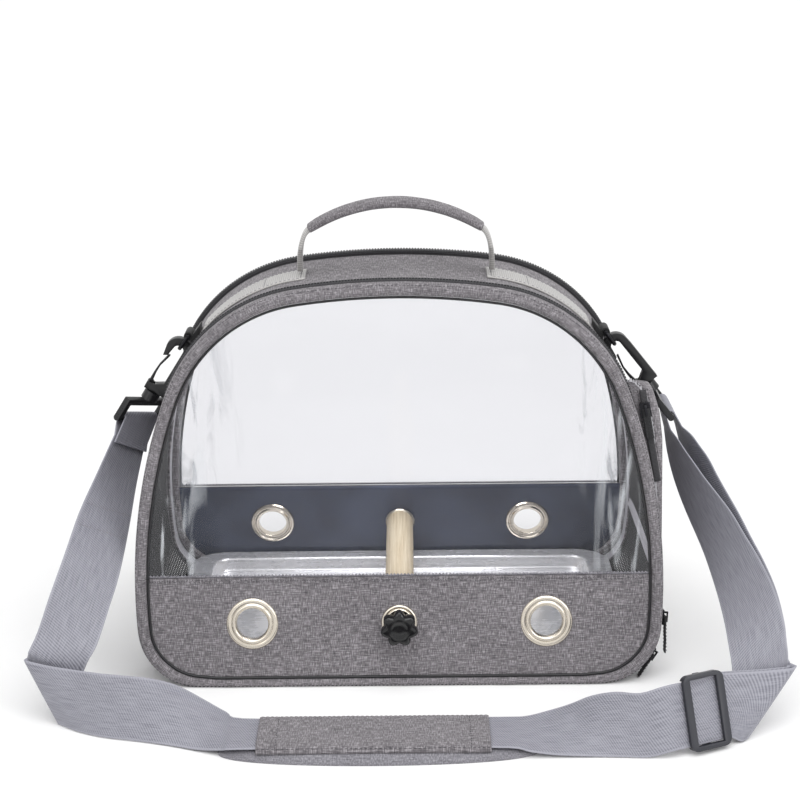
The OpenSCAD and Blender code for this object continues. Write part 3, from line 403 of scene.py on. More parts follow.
# %% The arch
BASE_FLAT, FACE_Y, LEAN = 134.012, -103.0, math.radians(10.7)
ARCS = (  # centre x, centre z, radius, first and last heading
    (134.012, 40.0, 40.0, 0.0, 85.5),
    (-185.418, 65.140, 360.418, 85.5, 110.0),
    (52.717, 151.814, 107.0, 110.0, 172.0),
    (0.0, -223.288, 485.788, 172.0, 180.0),
)
HALF = BASE_FLAT + sum(r * math.radians(b - a) for _, _, r, a, b in ARCS)
SEAM_Z, WINDOW_Z = 72.0, 72.3  # where the band ends and the window begins
FACES = (("front", False), ("back", True))  # each name, and whether it is the back
SIDES = (("left", True), ("right", False))  # each name, and whether it is the left


def unit(x):
    """x, held between 0 and 1."""
    return min(1.0, max(0.0, x))


def outline(s, d=0.0):
    """x and z of the place s mm along the arch, d mm in from its edge."""
    s = s if s >= 0 else s + 2 * HALF
    side, run = (1, s) if s <= HALF else (-1, 2 * HALF - s)
    turned_under = 1 - unit((run - BASE_FLAT + 12) / 44)
    d -= 0.4 * turned_under ** 1.5 * min(max(d, 0), 8)
    if run <= BASE_FLAT:
        return side * run, d
    run -= BASE_FLAT
    for x, z, r, first, last in ARCS:
        a = math.radians(first) + run / r
        if a <= math.radians(last) or last == 180.0:
            break
        run -= r * math.radians(last - first)
    return side * (x + (r - d) * math.sin(a)), z - (r - d) * math.cos(a)


def crossing(low, high, before):
    """The place between low and high up to which before(place) holds."""
    for _ in range(40):
        mid = (low + high) / 2
        low, high = (mid, high) if before(mid) else (low, mid)
    return low


def run_to(z, d=0.0):
    """How far along the arch its right side reaches the height z."""
    return crossing(BASE_FLAT, HALF, lambda s: outline(s, d)[1] < z)


def half_width(z, d):
    """Half the width of the arch, d in from its edge, at height z."""
    return outline(run_to(z, d), d)[0]


def face_y(z, n):
    """y of the plane n mm behind the front face."""
    return FACE_Y + z * math.tan(LEAN) + n / math.cos(LEAN)


def faced(x, y, z, back):
    """The point x, y, z of the front, or its mirror image at the back."""
    return Vector((x, -y if back else y, z))


def on_arch(s, d, n, back=False):
    """The point s along the arch, d in from its edge and n behind the face."""
    x, z = outline(s, d)
    return faced(x, face_y(z, n), z, back)


SEAM_RUN = run_to(SEAM_Z)
print("arch length", round(2 * HALF, 1), "seam at", round(SEAM_RUN, 1))

# %% [markdown]
# Nearly every cloth piece is a grid of squares, bent to its place by a
# function of two numbers from 0 to 1. The same helper makes a tube, by
# merging the grid's two long edges, and closes the tube's ends or leaves them.

# %% Grid helper
def cloth_grid(cols, rows, place, size, tube=False, caps=True):
    """A grid moved to place(u, v); size(u, v) or a pair is the cloth's own measure, all in mm."""
    bm = bmesh.new()
    weave = bm.loops.layers.uv.new("weave")
    bmesh.ops.create_grid(bm, x_segments=cols, y_segments=rows, size=0.5, calc_uvs=True)
    measure = size if callable(size) else lambda u, v: (u * size[0], v * size[1])
    for face in bm.faces:
        for loop in face.loops:
            x, y = measure(loop.vert.co.x + 0.5, loop.vert.co.y + 0.5)
            loop[weave].uv = (x * MM, y * MM)
    for vert in bm.verts:
        vert.co = place(vert.co.x + 0.5, vert.co.y + 0.5)
    if tube:
        bmesh.ops.remove_doubles(bm, verts=bm.verts, dist=1e-4)
        open_edges = [e for e in bm.edges if e.is_boundary]
        if open_edges and caps:
            bmesh.ops.holes_fill(bm, edges=open_edges, sides=0)
        bmesh.ops.recalc_face_normals(bm, faces=bm.faces)
    return bm


def curve_at(points, t, closed=False):
    """The place t, from 0 to 1, on a smooth curve through points."""
    count = len(points)
    spans = count if closed else count - 1
    i = min(int(t * spans), spans - 1)
    f = t * spans - i
    a, b, c, d = (points[k % count] if closed else points[min(max(k, 0), count - 1)]
                  for k in range(i - 1, i + 3))
    return [0.5 * (2 * q + (r - p) * f + (2 * p - 5 * q + 4 * r - s) * f * f
                   + (3 * q - p - 3 * r + s) * f ** 3) for p, q, r, s in zip(a, b, c, d)]


def boxy(value, power):
    """A sine or cosine drawn out to -1 and 1, for a squarer round than a circle."""
    return math.copysign(abs(value) ** power, value)


def ripple_at(x, y, z, size, seed=0.0):
    """Smooth noise from about -1 to 1, with bumps size mm wide."""
    return noise.noise(Vector((x / size, y / size, z / size + seed)))


# %% [markdown]
# A bent grid becomes a piece when it has its material and rides on a body of
# the frame, and replaces names the CAD nodes it stands for, which are hidden.
# A sheet then gets its thickness.

# %% Finishing a piece
def make(name, bm, material, body, slot, replaces=(), smooth_angle=60):
    """Turns a bmesh in mm into a finished piece that rides on body."""
    bmesh.ops.scale(bm, vec=(MM, MM, MM), verts=bm.verts)
    mesh = bpy.data.meshes.new(name)
    bm.to_mesh(mesh)
    bm.free()
    for face in mesh.polygons:
        face.use_smooth = True
    mesh.set_sharp_from_angle(angle=math.radians(smooth_angle))
    obj = bpy.data.objects.new(name, mesh)
    bpy.context.scene.collection.objects.link(obj)
    mesh.materials.append(material)
    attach(obj, body)
    if replaces:
        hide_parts(*replaces)
    return obj


def thicken(obj, thickness, inner=None):
    """Gives a cloth sheet its thickness in mm, behind its outer side, and a lining."""
    wall = obj.modifiers.new("thickness", "SOLIDIFY")
    wall.thickness, wall.offset = thickness * MM, -1
    wall.use_even_offset = False
    if inner:
        obj.data.materials.append(inner)
        wall.material_offset = 1
    return obj


def turn_outwards(bm):
    """Turns an open sheet's faces away from the middle of the bag."""
    bm.normal_update()
    middle = Vector((0, 0, 110))
    total = sum(f.normal.dot(f.calc_center_median() - middle) * f.calc_area() for f in bm.faces)
    if total <= 0:
        bmesh.ops.reverse_faces(bm, faces=bm.faces)


def turn_up(bm):
    """Turns a sheet's faces upwards."""
    bm.normal_update()
    if sum(f.normal.z * f.calc_area() for f in bm.faces) < 0:
        bmesh.ops.reverse_faces(bm, faces=bm.faces)


# %% [markdown]
# Sewing shows as short dashes of thread. One helper lays
# small six-sided stitches along a line of points, each with the direction
# that it stands out in.

# %% Stitches
def stitches(name, lines, material, body, slot, pitch, length, width, rise=0.15):
    """Stitches along lines, each a list of (point, outward) pairs, all in mm."""
    bm = bmesh.new()
    for line in lines:
        travelled, due = 0.0, pitch / 2
        for (p, out), (q, _) in zip(line, line[1:]):
            step = (q - p).length
            while step > 0 and travelled + step >= due:
                centre = p.lerp(q, (due - travelled) / step) + out.normalized() * rise
                along = (q - p).normalized()
                across = out.cross(along).normalized()
                turn = Matrix((along, across, along.cross(across))).transposed().to_4x4()
                stretch = Matrix.Diagonal((length / 2, width / 2, width / 2, 1))
                bmesh.ops.create_icosphere(bm, subdivisions=1, radius=1.0,
                                           matrix=Matrix.Translation(centre) @ turn @ stretch)
                due += pitch
            travelled += step
    return make(name, bm, material, body, slot)


# %% [markdown]
# Below each window is a panel of oxford. It is cut to the arch and sewn under
# the rim, so it bellies a little between its seams. Holes for the eyelets are
# punched through it: squares of the grid near each centre go, and the eyelet's
# flange covers the rough edge. The PVC lining behind it is the same cut.

# %% Lower panels
EYELET_Z, EYELET_X = 41.6, 97.5
PUNCHED = ((-EYELET_X, 12.6), (0.0, 9.4), (EYELET_X, 12.6))  # x and radius of each hole
BAND_Z = 4.2  # the height of the panel's lower edge


def panel_place(depth, belly, seed, back):
    """Places a lower panel's cloth, depth behind the face."""
    def place(u, v):
        z = BAND_Z + (SEAM_Z - BAND_Z) * v ** 1.5
        x = (2 * u - 1) * half_width(max(z, 7.001), 7.0)
        z += 2.6 * unit((abs(x) - 134) / 26) * (1 - v) ** 3
        dome = math.sin(math.pi * unit(v)) * math.sin(math.pi * u) ** 0.5
        wave = ripple_at(x, 0, z, 42, seed) * 0.8 + ripple_at(x, 0, z, 15, seed + 7) * 0.25
        wave *= min(1, 6 * u, 6 - 6 * u)
        return faced(x, face_y(z, depth - belly * dome - wave * dome), z, back)
    return place


def lower_panel(name, back, depth, belly, material, slot, replaces, seed, flip):
    """One panel below the seam, with its eyelet holes."""
    place = panel_place(depth, belly, seed, back)
    bm = cloth_grid(150, 30, place, lambda u, v: tuple(place(u, v).xz))
    gone = []
    for face in bm.faces:
        at = face.calc_center_median()
        if any(math.hypot(at.x - x, at.z - EYELET_Z) < r for x, r in PUNCHED):
            gone.append(face)
    bmesh.ops.delete(bm, geom=gone, context="FACES")
    if flip:
        bmesh.ops.reverse_faces(bm, faces=bm.faces)
    return make(name, bm, material, "bag", slot, replaces)


for side, back in FACES:
    panel = lower_panel(side + "_band_cloth", back, 0.2, 0.9, OXFORD, "oxford",
                        [side + "_lower_panel"], 3.0 + back, back)
    thicken(panel, 1.4)
    lining = lower_panel(side + "_band_lining", back, 3.0, 0.2, PVC, "lining",
                         ["lower_linings"], 8.0 + back, not back)
    thicken(lining, 0.8)
print("lower panels made")

# %% [markdown]
# Round each face runs a rim: a strip of oxford folded over a soft cord, with
# the zipper on its outer edge and black piping on its inner one. It is a
# rounded tube swept along the arch. Where cloth is turned over a cord on a
# curve it gathers, so short noise puckers it, most where it stands highest.

# %% Rims
# The rim's section: mm in from the edge, and mm behind the face.
RIM = [(0.4, 5.9), (0.0, 3.0), (0.1, 0.3), (1.1, -2.0), (2.7, -3.2), (4.3, -3.6),
       (6.0, -3.0), (7.4, -1.3), (8.2, 0.8), (7.9, 3.4), (7.0, 5.7), (3.6, 6.0)]
RIM_ROUND = 26.0  # mm round the rim's section
PIPING_D, PIPING_N = 8.95, -0.35  # the piping's middle


def rim(name, first, last, back, seed, body, node):
    """The padded rim between two places on the arch."""
    def place(u, v):
        s = first + (last - first) * u
        d, n = curve_at(RIM, v, closed=True)
        proud = unit((2.0 - n) / 4)
        ends = min(1.0, 40 * u, 40 * (1 - u))
        slant = s + 3.0 * (d - 4)
        pucker = ripple_at(slant, d * 1.5, 0, 9, seed) * 0.5 + ripple_at(s, d, 0, 31, seed) * 0.5
        swing = ripple_at(s, 0, 0, 55, seed + 4) * 0.5
        return on_arch(s, d + proud * swing * 0.4 * ends,
                       n + proud * ends * (pucker * 0.75 + 0.1), back)
    bm = cloth_grid(int((last - first) / 2.2), 26, place,
                    lambda u, v: (first + (last - first) * u, v * RIM_ROUND), tube=True)
    return make(name, bm, OXFORD, body, "oxford", [node])


def piping(name, first, last, back, body, node):
    """The round black piping on the rim's inner edge."""
    def place(u, v):
        s, a = first + (last - first) * u, 2 * math.pi * v
        return on_arch(s, PIPING_D + 0.85 * math.cos(a), PIPING_N + 0.95 * math.sin(a), back)
    bm = cloth_grid(int((last - first) / 3), 8, place, (last - first, 6), tube=True)
    return make(name, bm, PIPING, body, "piping", [node])


LOWER = (-SEAM_RUN, SEAM_RUN)
UPPER = (run_to(WINDOW_Z), 2 * HALF - run_to(WINDOW_Z))

for side, back in FACES:
    rim(side + "_lower_rim_cloth", *LOWER, back, 2.0 + 9 * back, "bag", side + "_lower_rim")
    rim(side + "_window_rim_cloth", *UPPER, back, 5.0 + 9 * back, side + "_flap",
        side + "_window_rim")
    piping(side + "_lower_piping_cord", *LOWER, back, "bag", side + "_lower_piping")
    piping(side + "_window_piping_cord", *UPPER, back, side + "_flap", side + "_window_piping")
print("rims and piping made")

# %% [markdown]
# Behind each rim is the zipper that opens the face: a black tape with a
# nylon coil along its middle. The coil shows from the side and from above as
# a row of small teeth, so each tooth is its own little block.

# %% Face zippers
PROUD, FLUSH_Z = 1.6, 176  # mm that it stands out, and the height below which it doesn't


def tooth(bm, centre, along, out, size):
    """One zipper tooth, its size along the tape, across it and out of it."""
    across = along.cross(out)
    turn = Matrix((along, across, out)).transposed().to_4x4()
    stretch = Matrix.Diagonal((size[0], size[1], size[2], 1))
    bmesh.ops.create_cube(bm, size=1.0, matrix=Matrix.Translation(centre) @ turn @ stretch)


def zip_proud(s):
    """How far the zipper stands out over the top; beside the pocket it lies flush."""
    share = unit((outline(s)[1] - FLUSH_Z) / 30)
    return PROUD * share * share * (3 - 2 * share)


TOOTH_PITCH, COIL_N = 2.0, 8.5
TAPE_SECTION = [(0.75, 6.1), (0.7, COIL_N), (0.75, 10.9), (3.4, 10.9), (3.5, COIL_N), (3.4, 6.1)]
for side, back in FACES:
    def tape_place(u, v, back=back):
        s = 2 * HALF * u
        d, n = curve_at(TAPE_SECTION, v, True)
        return on_arch(s, d - zip_proud(s) * max(0.0, (2.6 - d) / 1.9), n, back)

    bm = cloth_grid(300, 12, tape_place, (2 * HALF, 16), tube=True, caps=False)
    make(side + "_zipper_tape", bm, ZIP_TAPE, "bag", "zipper", [side + "_zipper"], 40)
    bm = bmesh.new()
    for k in range(int(2 * HALF / TOOTH_PITCH)):
        s = k * TOOTH_PITCH
        d = 0.5 - zip_proud(s)
        here, ahead = on_arch(s, d, COIL_N, back), on_arch(s + 1, d, COIL_N, back)
        out = on_arch(s, -2, COIL_N, back) - here
        tooth(bm, here, (ahead - here).normalized(), out.normalized(), (1.25, 3.4, 1.1))
    make(side + "_zipper_coil", bm, TEETH, "bag", "zipper", [side + "_zipper"], 30)
print("zippers made")

# %% [markdown]
# The windows are cut from the film to the arch above the seam. The film hangs
# in low waves and bows out a little, which is what bends its reflections. It
# is laid in columns from the seam up to the arch.

# %% Windows
def arch_height(x, d):
    """The height of the arch over the place x, d in from its edge."""
    s = crossing(run_to(WINDOW_Z, d), HALF, lambda s: outline(s, d)[0] > abs(x))
    return outline(s, d)[1]


WINDOW_EDGE = 6.8
widest = half_width(WINDOW_Z, WINDOW_EDGE)
for side, back in FACES:
    heights = {}

    def film_place(u, v, back=back, heights=heights):
        x = widest * math.sin(math.pi * (u - 0.5)) * 0.9995
        if u not in heights:
            heights[u] = arch_height(x, WINDOW_EDGE)
        z = WINDOW_Z + v * (heights[u] - WINDOW_Z)
        inside = 0 < v < 1 and 0 < u < 1
        dome = (math.sin(math.pi * u) * math.sin(math.pi * v)) ** 0.7 if inside else 0.0
        wave = ripple_at(x, 20 * back, z, 85) * 1.1 + ripple_at(x, 30 * back, z, 40) * 0.3
        return faced(x, face_y(z, 0.9 - dome * (0.6 + wave)), z, back)

    bm = cloth_grid(72, 36, film_place, lambda u, v: tuple(film_place(u, v).xz))
    if back:
        bmesh.ops.reverse_faces(bm, faces=bm.faces)
    pane = make(side + "_window_film", bm, FILM, side + "_flap", "clear_sheet", [side + "_window"])
    thicken(pane, 0.4)
print("windows made")

# %% [markdown]
# The strap's hooks hang against the bag and press a dent into the cloth beside
# them. One helper moves a point of cloth out of a hook's way; the pocket also
# gives way under the eye of the right hook.

# %% Dents under the hooks
RING_TIP, RING_LIFT = (149.575, 205.794), 1.35
LEFT_TILT, RIGHT_TILT = 32.6, -38.5  # degrees that the hooks hang away from plumb
HOOK_LOW, HOOK_HIGH, EYE_LOW, EYE_HIGH = -52, 11, -76, -37  # mm along a hook, from the ring


def dented(p, side, eye=False):
    """The point p of cloth, pressed away from the hook on a side (-1 left, 1 right)."""
    t = math.radians(LEFT_TILT if side < 0 else RIGHT_TILT)
    along, rise = Vector((math.cos(t), 0, -math.sin(t))), Vector((math.sin(t), 0, math.cos(t)))
    at = p - (Vector((side * RING_TIP[0], 0, RING_TIP[1])) - RING_LIFT * rise)
    x, z = at.dot(along) * -side, at.dot(rise)  # x counts towards the bag
    push = 0.0
    if HOOK_LOW < z < HOOK_HIGH:
        round_tip = 9.9 * math.sqrt(max(0.0, 1 - (max(z, 0) / HOOK_HIGH) ** 2))
        room = (10.4 if side < 0 else 8.4) if z < -3 else round_tip
        near = unit((9.0 - abs(p.y)) / 4.2)
        near *= min(1.0, (z - HOOK_LOW) / 5, (HOOK_HIGH - z) / 3)
        push = max(0.0, room - x) * near * near * (3 - 2 * near)
    if eye and EYE_LOW < z < EYE_HIGH:
        near = unit((33.0 - abs(p.y)) / 6)
        near *= min(1.0, (z - EYE_LOW) / 5, (EYE_HIGH - z) / 3.5)
        push = max(push, max(0.0, 3.5 - x) * near * near * (3 - 2 * near))
    return p - side * push * along if push < 24 else p


# %% [markdown]
# The side walls are oxford outside and taffeta inside, with a window of net.
# A wall is a grid over the arch and the depth of the bag; the squares inside
# the net's opening are deleted, and a bound edge covers the cut.

# %% Side walls
WALL_END = run_to(188.41)
NET_LOW, NET_HIGH = 10.0, 140.0  # heights of the net's opening
RUN_LOW, RUN_HIGH = run_to(NET_LOW), run_to(NET_HIGH)
WALL_N, NET_N = 11.2, 23.0  # how far behind the face the wall and the net begin


def side_sign(s, left):
    """The same place on the left or the right side."""
    return 2 * HALF - s if left else s


def wall_run(u):
    """Along the wall: border, net opening, border."""
    if u < 0.06:
        return BASE_FLAT + (RUN_LOW - BASE_FLAT) * u / 0.06
    if u < 0.8:
        return RUN_LOW + (RUN_HIGH - RUN_LOW) * (u - 0.06) / 0.74
    return RUN_HIGH + (WALL_END - RUN_HIGH) * (u - 0.8) / 0.2


def wall_depth(z, v):
    """Across the wall: border, net opening, border."""
    edge, hole = -face_y(z, WALL_N), -face_y(z, NET_N)
    if v < 0.12:
        return -edge + (edge - hole) * v / 0.12
    if v > 0.88:
        return hole + (edge - hole) * (v - 0.88) / 0.12
    return hole * (2 * v - 1) / 0.76


for name, left in SIDES:
    def wall_place(u, v, left=left):
        s = side_sign(wall_run(u), left)
        z = outline(s, 2.0)[1]
        y = wall_depth(z, v)
        slack = 0.0 if u < 0.85 else math.sin(math.pi * (u - 0.85) / 0.3)
        wave = 0.5 * ripple_at(30 * left, y, z, 28) * min(1, 8 * v, 8 - 8 * v)
        x, z = outline(s, 2.0 + wave + slack * 0.3)
        return dented(Vector((x, y, z)), -1 if left else 1)

    bm = cloth_grid(50, 50, wall_place, lambda u, v: (wall_depth(60, v), wall_run(u)))
    turn_outwards(bm)
    centres = [(f, f.calc_center_median()) for f in bm.faces]
    opening = [f for f, at in centres if NET_LOW + 0.2 < at.z < NET_HIGH - 0.1
               and abs(at.y) < -face_y(at.z, NET_N) - 0.1]
    bmesh.ops.delete(bm, geom=opening, context="FACES")
    wall = make(name + "_wall_cloth", bm, OXFORD, "bag", "oxford", [name + "_side_panel"])
    thicken(wall, 2.0, LINING)
print("side walls made")

# %% [markdown]
# The side windows are knitted polyester net with holes about 2 mm across. The
# left one bows out more than the right one. Each is a fine grid; each square
# is inset and its middle deleted, which leaves flat strands that then get a
# thickness. Four strips of oxford bind the opening's edges.

# %% Side nets
NET_COLS, NET_ROWS = 52, 62
BINDING = [(-3.2, 2.4), (-3.6, 1.6), (-2.6, 0.9), (0, 0.6), (2.6, 0.9), (3.6, 1.6), (3.2, 2.4)]


def round_unit(u):
    """Round the unit square, and the way out of it there."""
    side, f = int(u * 4) % 4, (u * 4) % 1
    return [(f, 0.0, 0, -1), (1.0, f, 1, 0), (1 - f, 1.0, 0, 1), (0.0, 1 - f, -1, 0)][side]


for name, left in SIDES:
    bow = 3.6 if left else 0.9

    def net_place(u, v, left=left, bow=bow):
        s = side_sign(RUN_LOW - 4 + (RUN_HIGH - RUN_LOW + 8) * u, left)
        z = outline(s, 1.5)[1]
        y = (-face_y(z, NET_N) + 4) * (2 * v - 1)
        lean = 0.0
        if 0 < u < 1 and 0 < v < 1:
            lean = math.sin(math.pi * u) ** 0.8 * math.cos(math.pi * (v - 0.5)) ** 0.6
        x, z = outline(s, 2.6 - bow * lean)
        return Vector((x, y, z))

    bm = cloth_grid(NET_ROWS, NET_COLS, net_place, (135, 140))
    turn_outwards(bm)
    holes = list(bm.faces)
    bmesh.ops.inset_individual(bm, faces=holes, thickness=0.5, use_even_offset=True)
    bmesh.ops.delete(bm, geom=holes, context="FACES_ONLY")
    net = make(name + "_side_net", bm, NET, "bag", "net", [name + "_side_mesh"], 60)
    thicken(net, 0.5)

    def binding_place(u, v, left=left):
        ring = round_unit(u)
        s = side_sign(RUN_LOW + (RUN_HIGH - RUN_LOW) * ring[0], left)
        z = outline(s, 1.5)[1]
        y = -face_y(z, NET_N) * (2 * ring[1] - 1)
        across, depth = curve_at(BINDING, v)
        x, z = outline(s + (-1 if left else 1) * ring[2] * across, depth)
        return Vector((x, y + ring[3] * across, z))

    for k in range(4):
        bm = cloth_grid(40, 6, lambda u, v: binding_place((k + min(u, 0.9999)) / 4, v), (135, 8))
        turn_outwards(bm)
        make(f"{name}_net_binding_{k}", bm, OXFORD, "bag", "oxford", [name + "_side_panel"])
print("nets made")

# %% [markdown]
# The top of the bag is one length of oxford between the two zippers, lined
# with taffeta. It dips a little between the rims and carries the handle. The
# front zipper's tape is sewn down along its edge.

# %% Top gusset
def gusset_dip(y, z):
    """How far the top's cloth dips at a distance y from the middle."""
    share = min(1.0, abs(y) / -face_y(z, WALL_N))
    return 0.7 * math.sin(math.pi * share) ** 2


def gusset_place(u, v):
    s = WALL_END + (2 * HALF - 2 * WALL_END) * u
    z = outline(s, 2.0)[1]
    y = -face_y(z, WALL_N) * (2 * v - 1)
    wave = 0.5 * ripple_at(s, y, 0, 30) * min(1, 8 * v, 8 - 8 * v)
    x, z = outline(s, 2.0 + gusset_dip(y, z) + wave)
    return dented(Vector((x, y, z)), -1 if x < 0 else 1)


bm = cloth_grid(150, 36, gusset_place, (2 * HALF - 2 * WALL_END, 48))
turn_outwards(bm)
gusset = make("top_gusset_cloth", bm, OXFORD, "bag", "oxford", ["top_gusset"])
thicken(gusset, 2.0, LINING)
FLANGE_LOW = run_to(9)


def flange_place(u, v):
    """The front zipper's tape where it is sewn down on the gusset."""
    s = FLANGE_LOW + 2 * (HALF - FLANGE_LOW) * u
    return on_arch(s, 1.35 - 0.3 * math.sin(math.pi * v), 11.0 + 4.4 * v, False)


bm = cloth_grid(300, 5, flange_place, (2 * HALF, 4.4))
turn_outwards(bm)
flange = make("front_zipper_flange", bm, ZIP_TAPE, "bag", "zipper", ["front_zipper"])
thicken(flange, 0.6)

# %% [markdown]
# The base is a stiff sandwich: oxford below, a board covered in PVC above. The
# cloth is a flat pad with rounded edges that stands on the floor.

# %% Base
BASE_HALF, BASE_N = 134.0, 11.4  # half its length, and how far behind the face it begins


def base_place(u, v):
    x = (2 * u - 1) * BASE_HALF
    a = 2 * math.pi * v
    half = -face_y(0.0, BASE_N)
    y = half * max(-1, min(1, 1.02 * boxy(math.cos(a), 0.25)))
    return Vector((x, y, 1.5 + 1.48 * boxy(math.sin(a), 0.35)))


bm = cloth_grid(60, 64, base_place, (268, 370), tube=True)
base = make("base_cloth", bm, OXFORD, "bag", "oxford", ["base_panel"])
print("gusset and base made")

# %% [markdown]
# Turned pieces: the eyelets are pressed brass with a rolled front flange, and
# the perch is a dowel. Each is half a section spun round its axis.

# %% Turned pieces
def turned(name, profile, place, material, slot, replaces):
    """Spins a section of (radius, height) points, in mm, and moves it to a place on the bag."""
    bm = bmesh.new()
    verts = [bm.verts.new((r, 0, h)) for r, h in profile]
    edges = [bm.edges.new(pair) for pair in zip(verts, verts[1:] + verts[:1])
             if not (pair[0].co.x < 1e-6 and pair[1].co.x < 1e-6)]
    bmesh.ops.spin(bm, geom=verts + edges, cent=(0, 0, 0), axis=(0, 0, 1), dvec=(0, 0, 0),
                   angle=2 * math.pi, steps=64, use_merge=True, use_duplicate=False)
    bmesh.ops.remove_doubles(bm, verts=bm.verts, dist=1e-4)
    bmesh.ops.recalc_face_normals(bm, faces=bm.faces)
    bmesh.ops.transform(bm, matrix=place, verts=bm.verts)
    if place.determinant() < 0:
        bmesh.ops.reverse_faces(bm, faces=bm.faces)
    make(name, bm, material, "bag", slot, replaces, 35)


MIRROR_Y = Matrix.Diagonal((1, -1, 1, 1))


def on_face(x, z, back=False):
    """Frame on a face: x to the right, y up the face, z out of it."""
    placed = Matrix.Translation((x, face_y(z, 0), z)) @ Matrix.Rotation(math.pi / 2 - LEAN, 4, "X")
    return MIRROR_Y @ placed if back else placed


def eyelet_section(bore, outer):
    """A pressed eyelet: rolled front flange, barrel and flat back flange."""
    rolled = [(0.05, 1.4), (0.15, 2.0), (0.27, 2.2), (0.37, 2.0), (0.44, 1.5), (0.5, 1.15),
              (0.57, 1.3), (0.68, 1.6), (0.82, 1.5), (0.94, 1.0)]
    clinched = [(0.62, -4.8), (0.52, -4.1), (0.42, -4.1), (0.26, -4.9), (0.06, -4.8)]
    front, rear = ([(bore + share * (outer - bore), z) for share, z in part]
                   for part in (rolled, clinched))
    return ([(bore, -4.2), (bore, 0.6)] + front
            + [(outer, 0.4), (outer - 0.2, 0.02), (bore + 0.88, 0.02), (bore + 0.88, -3.02),
               (outer - 1, -3.02), (outer - 0.7, -3.6), (outer - 1.3, -4.5)] + rear)


for side, back in FACES:
    for k, x in enumerate((-EYELET_X, EYELET_X)):
        turned(f"{side}_grommet_{k + 1}", eyelet_section(10.5, 17.25), on_face(x, EYELET_Z, back),
               NICKEL, "steel", [side + "_grommets"])
    turned(side + "_perch_eyelet", eyelet_section(7.5, 12.0), on_face(0, EYELET_Z, back),
           NICKEL, "steel", ["perch_eyelets"])
along_y = Matrix.Translation((0, 0, EYELET_Z)) @ Matrix.Rotation(-math.pi / 2, 4, "X")
dowel = [(0, -70), (5.05, -70), (5.05, -88.34), (9.2, -88.34), (9.85, -87.7), (9.95, -60),
         (10.0, -20), (9.92, 10), (10.0, 50), (9.85, 87.7), (9.2, 88.34), (5.05, 88.34),
         (5.05, 70), (0, 70)]
turned("perch_dowel", dowel, along_y, BEECH, "wood", ["perch"])

# %% [markdown]
# A star knob holds each end of the perch: moulded ABS with seven soft lobes
# and a dished face. It is a stack of rings, each a seven-lobed outline drawn
# in towards the middle.

# %% Star knobs
KNOB_R, LOBES = 12.5, 7
KNOB_ROWS = [  # share of the radius, and mm from the middle of the bag
    (0.0, 107.6), (0.2, 107.6), (0.34, 107.9), (0.46, 108.6), (0.62, 108.9), (0.82, 108.6),
    (0.95, 107.8), (1.0, 106.4), (1.0, 102.6), (0.95, 101.0), (0.84, 100.2), (0.6, 99.95),
    (0.48, 99.9), (0.47, 96.0), (0.46, 92.0), (0.27, 91.9), (0.27, 100.0)]
KNOB_SPANS = len(KNOB_ROWS) - 1


def knob_place(u, v, back):
    k = v * KNOB_SPANS
    i = min(int(k), KNOB_SPANS - 1)
    share, y = (a + (b - a) * (k - i) for a, b in zip(KNOB_ROWS[i], KNOB_ROWS[i + 1]))
    a = 2 * math.pi * u
    lobe = (0.5 + 0.5 * math.cos(LOBES * a)) ** 0.7
    r = KNOB_R * share * (1 - 0.24 * unit((share - 0.5) / 0.4) * (1 - lobe))
    return Vector((r * math.sin(a), y if back else -y, EYELET_Z + r * math.cos(a)))


for side, back in FACES:
    bm = cloth_grid(140, 3 * KNOB_SPANS, lambda u, v, back=back: knob_place(u, v, back), (80, 40),
                    tube=True, caps=False)
    bmesh.ops.dissolve_degenerate(bm, dist=1e-4, edges=bm.edges)
    bmesh.ops.recalc_face_normals(bm, faces=bm.faces)
    make(side + "_star_knob", bm, KNOB, side + "_knob", "black_plastic", [side + "_knob"], 50)
print("eyelets, perch and knobs made")

# %% [markdown]
# The tray is drawn from one sheet of stainless steel and polished: a rolled
# edge, a flat lip, a rounded wall and a floor. Rows of rounded rectangles,
# each a little further in, are bridged by the grid, and the floor is filled.

# %% Tray
TRAY_X, TRAY_Y, TRAY_R = 158.6, 94.6, 26.0
TRAY_ROWS = [  # mm in from the edge, and height
    (1.1, 15.35), (0.35, 15.3), (0.0, 15.7), (0.3, 16.15), (1.2, 16.3), (6.0, 16.2), (11.6, 16.2),
    (12.6, 15.9), (13.3, 15.0), (13.9, 12.6), (14.6, 9.0), (15.3, 7.3), (16.6, 6.5), (18.6, 6.2),
    (24.0, 6.12)]


def rounded_rectangle(t, x, y, r):
    """The place t, from 0 to 1, round a rounded rectangle."""
    straight = [2 * (y - r), 2 * (x - r), 2 * (y - r), 2 * (x - r)]
    bend = math.pi * r / 2
    run = t * (sum(straight) + 4 * bend)
    corners = [(x - r, y - r), (-(x - r), y - r), (-(x - r), -(y - r)), (x - r, -(y - r))]
    starts = [(x, -(y - r)), (x - r, y), (-x, y - r), (-(x - r), -y)]
    for k in range(4):
        heading = k * math.pi / 2
        if run <= straight[k]:
            dx, dy = [(0, 1), (-1, 0), (0, -1), (1, 0)][k]
            return starts[k][0] + dx * run, starts[k][1] + dy * run
        run -= straight[k]
        if run <= bend or k == 3:
            a = heading + min(run, bend) / r
            return corners[k][0] + r * math.cos(a), corners[k][1] + r * math.sin(a)
        run -= bend


def tray_place(u, v):
    inset, z = curve_at(TRAY_ROWS, v)
    wall = 4.4 * unit((inset - 1.2) / 12)  # the lip is wider at the sides
    x, y = rounded_rectangle(u, TRAY_X - inset - wall, TRAY_Y - inset,
                             max(4, TRAY_R - min(inset, 16)))
    sag = 0.25 * ripple_at(x, y, 0, 90) if inset < 13 else 0.0
    return Vector((x, y, z + sag))


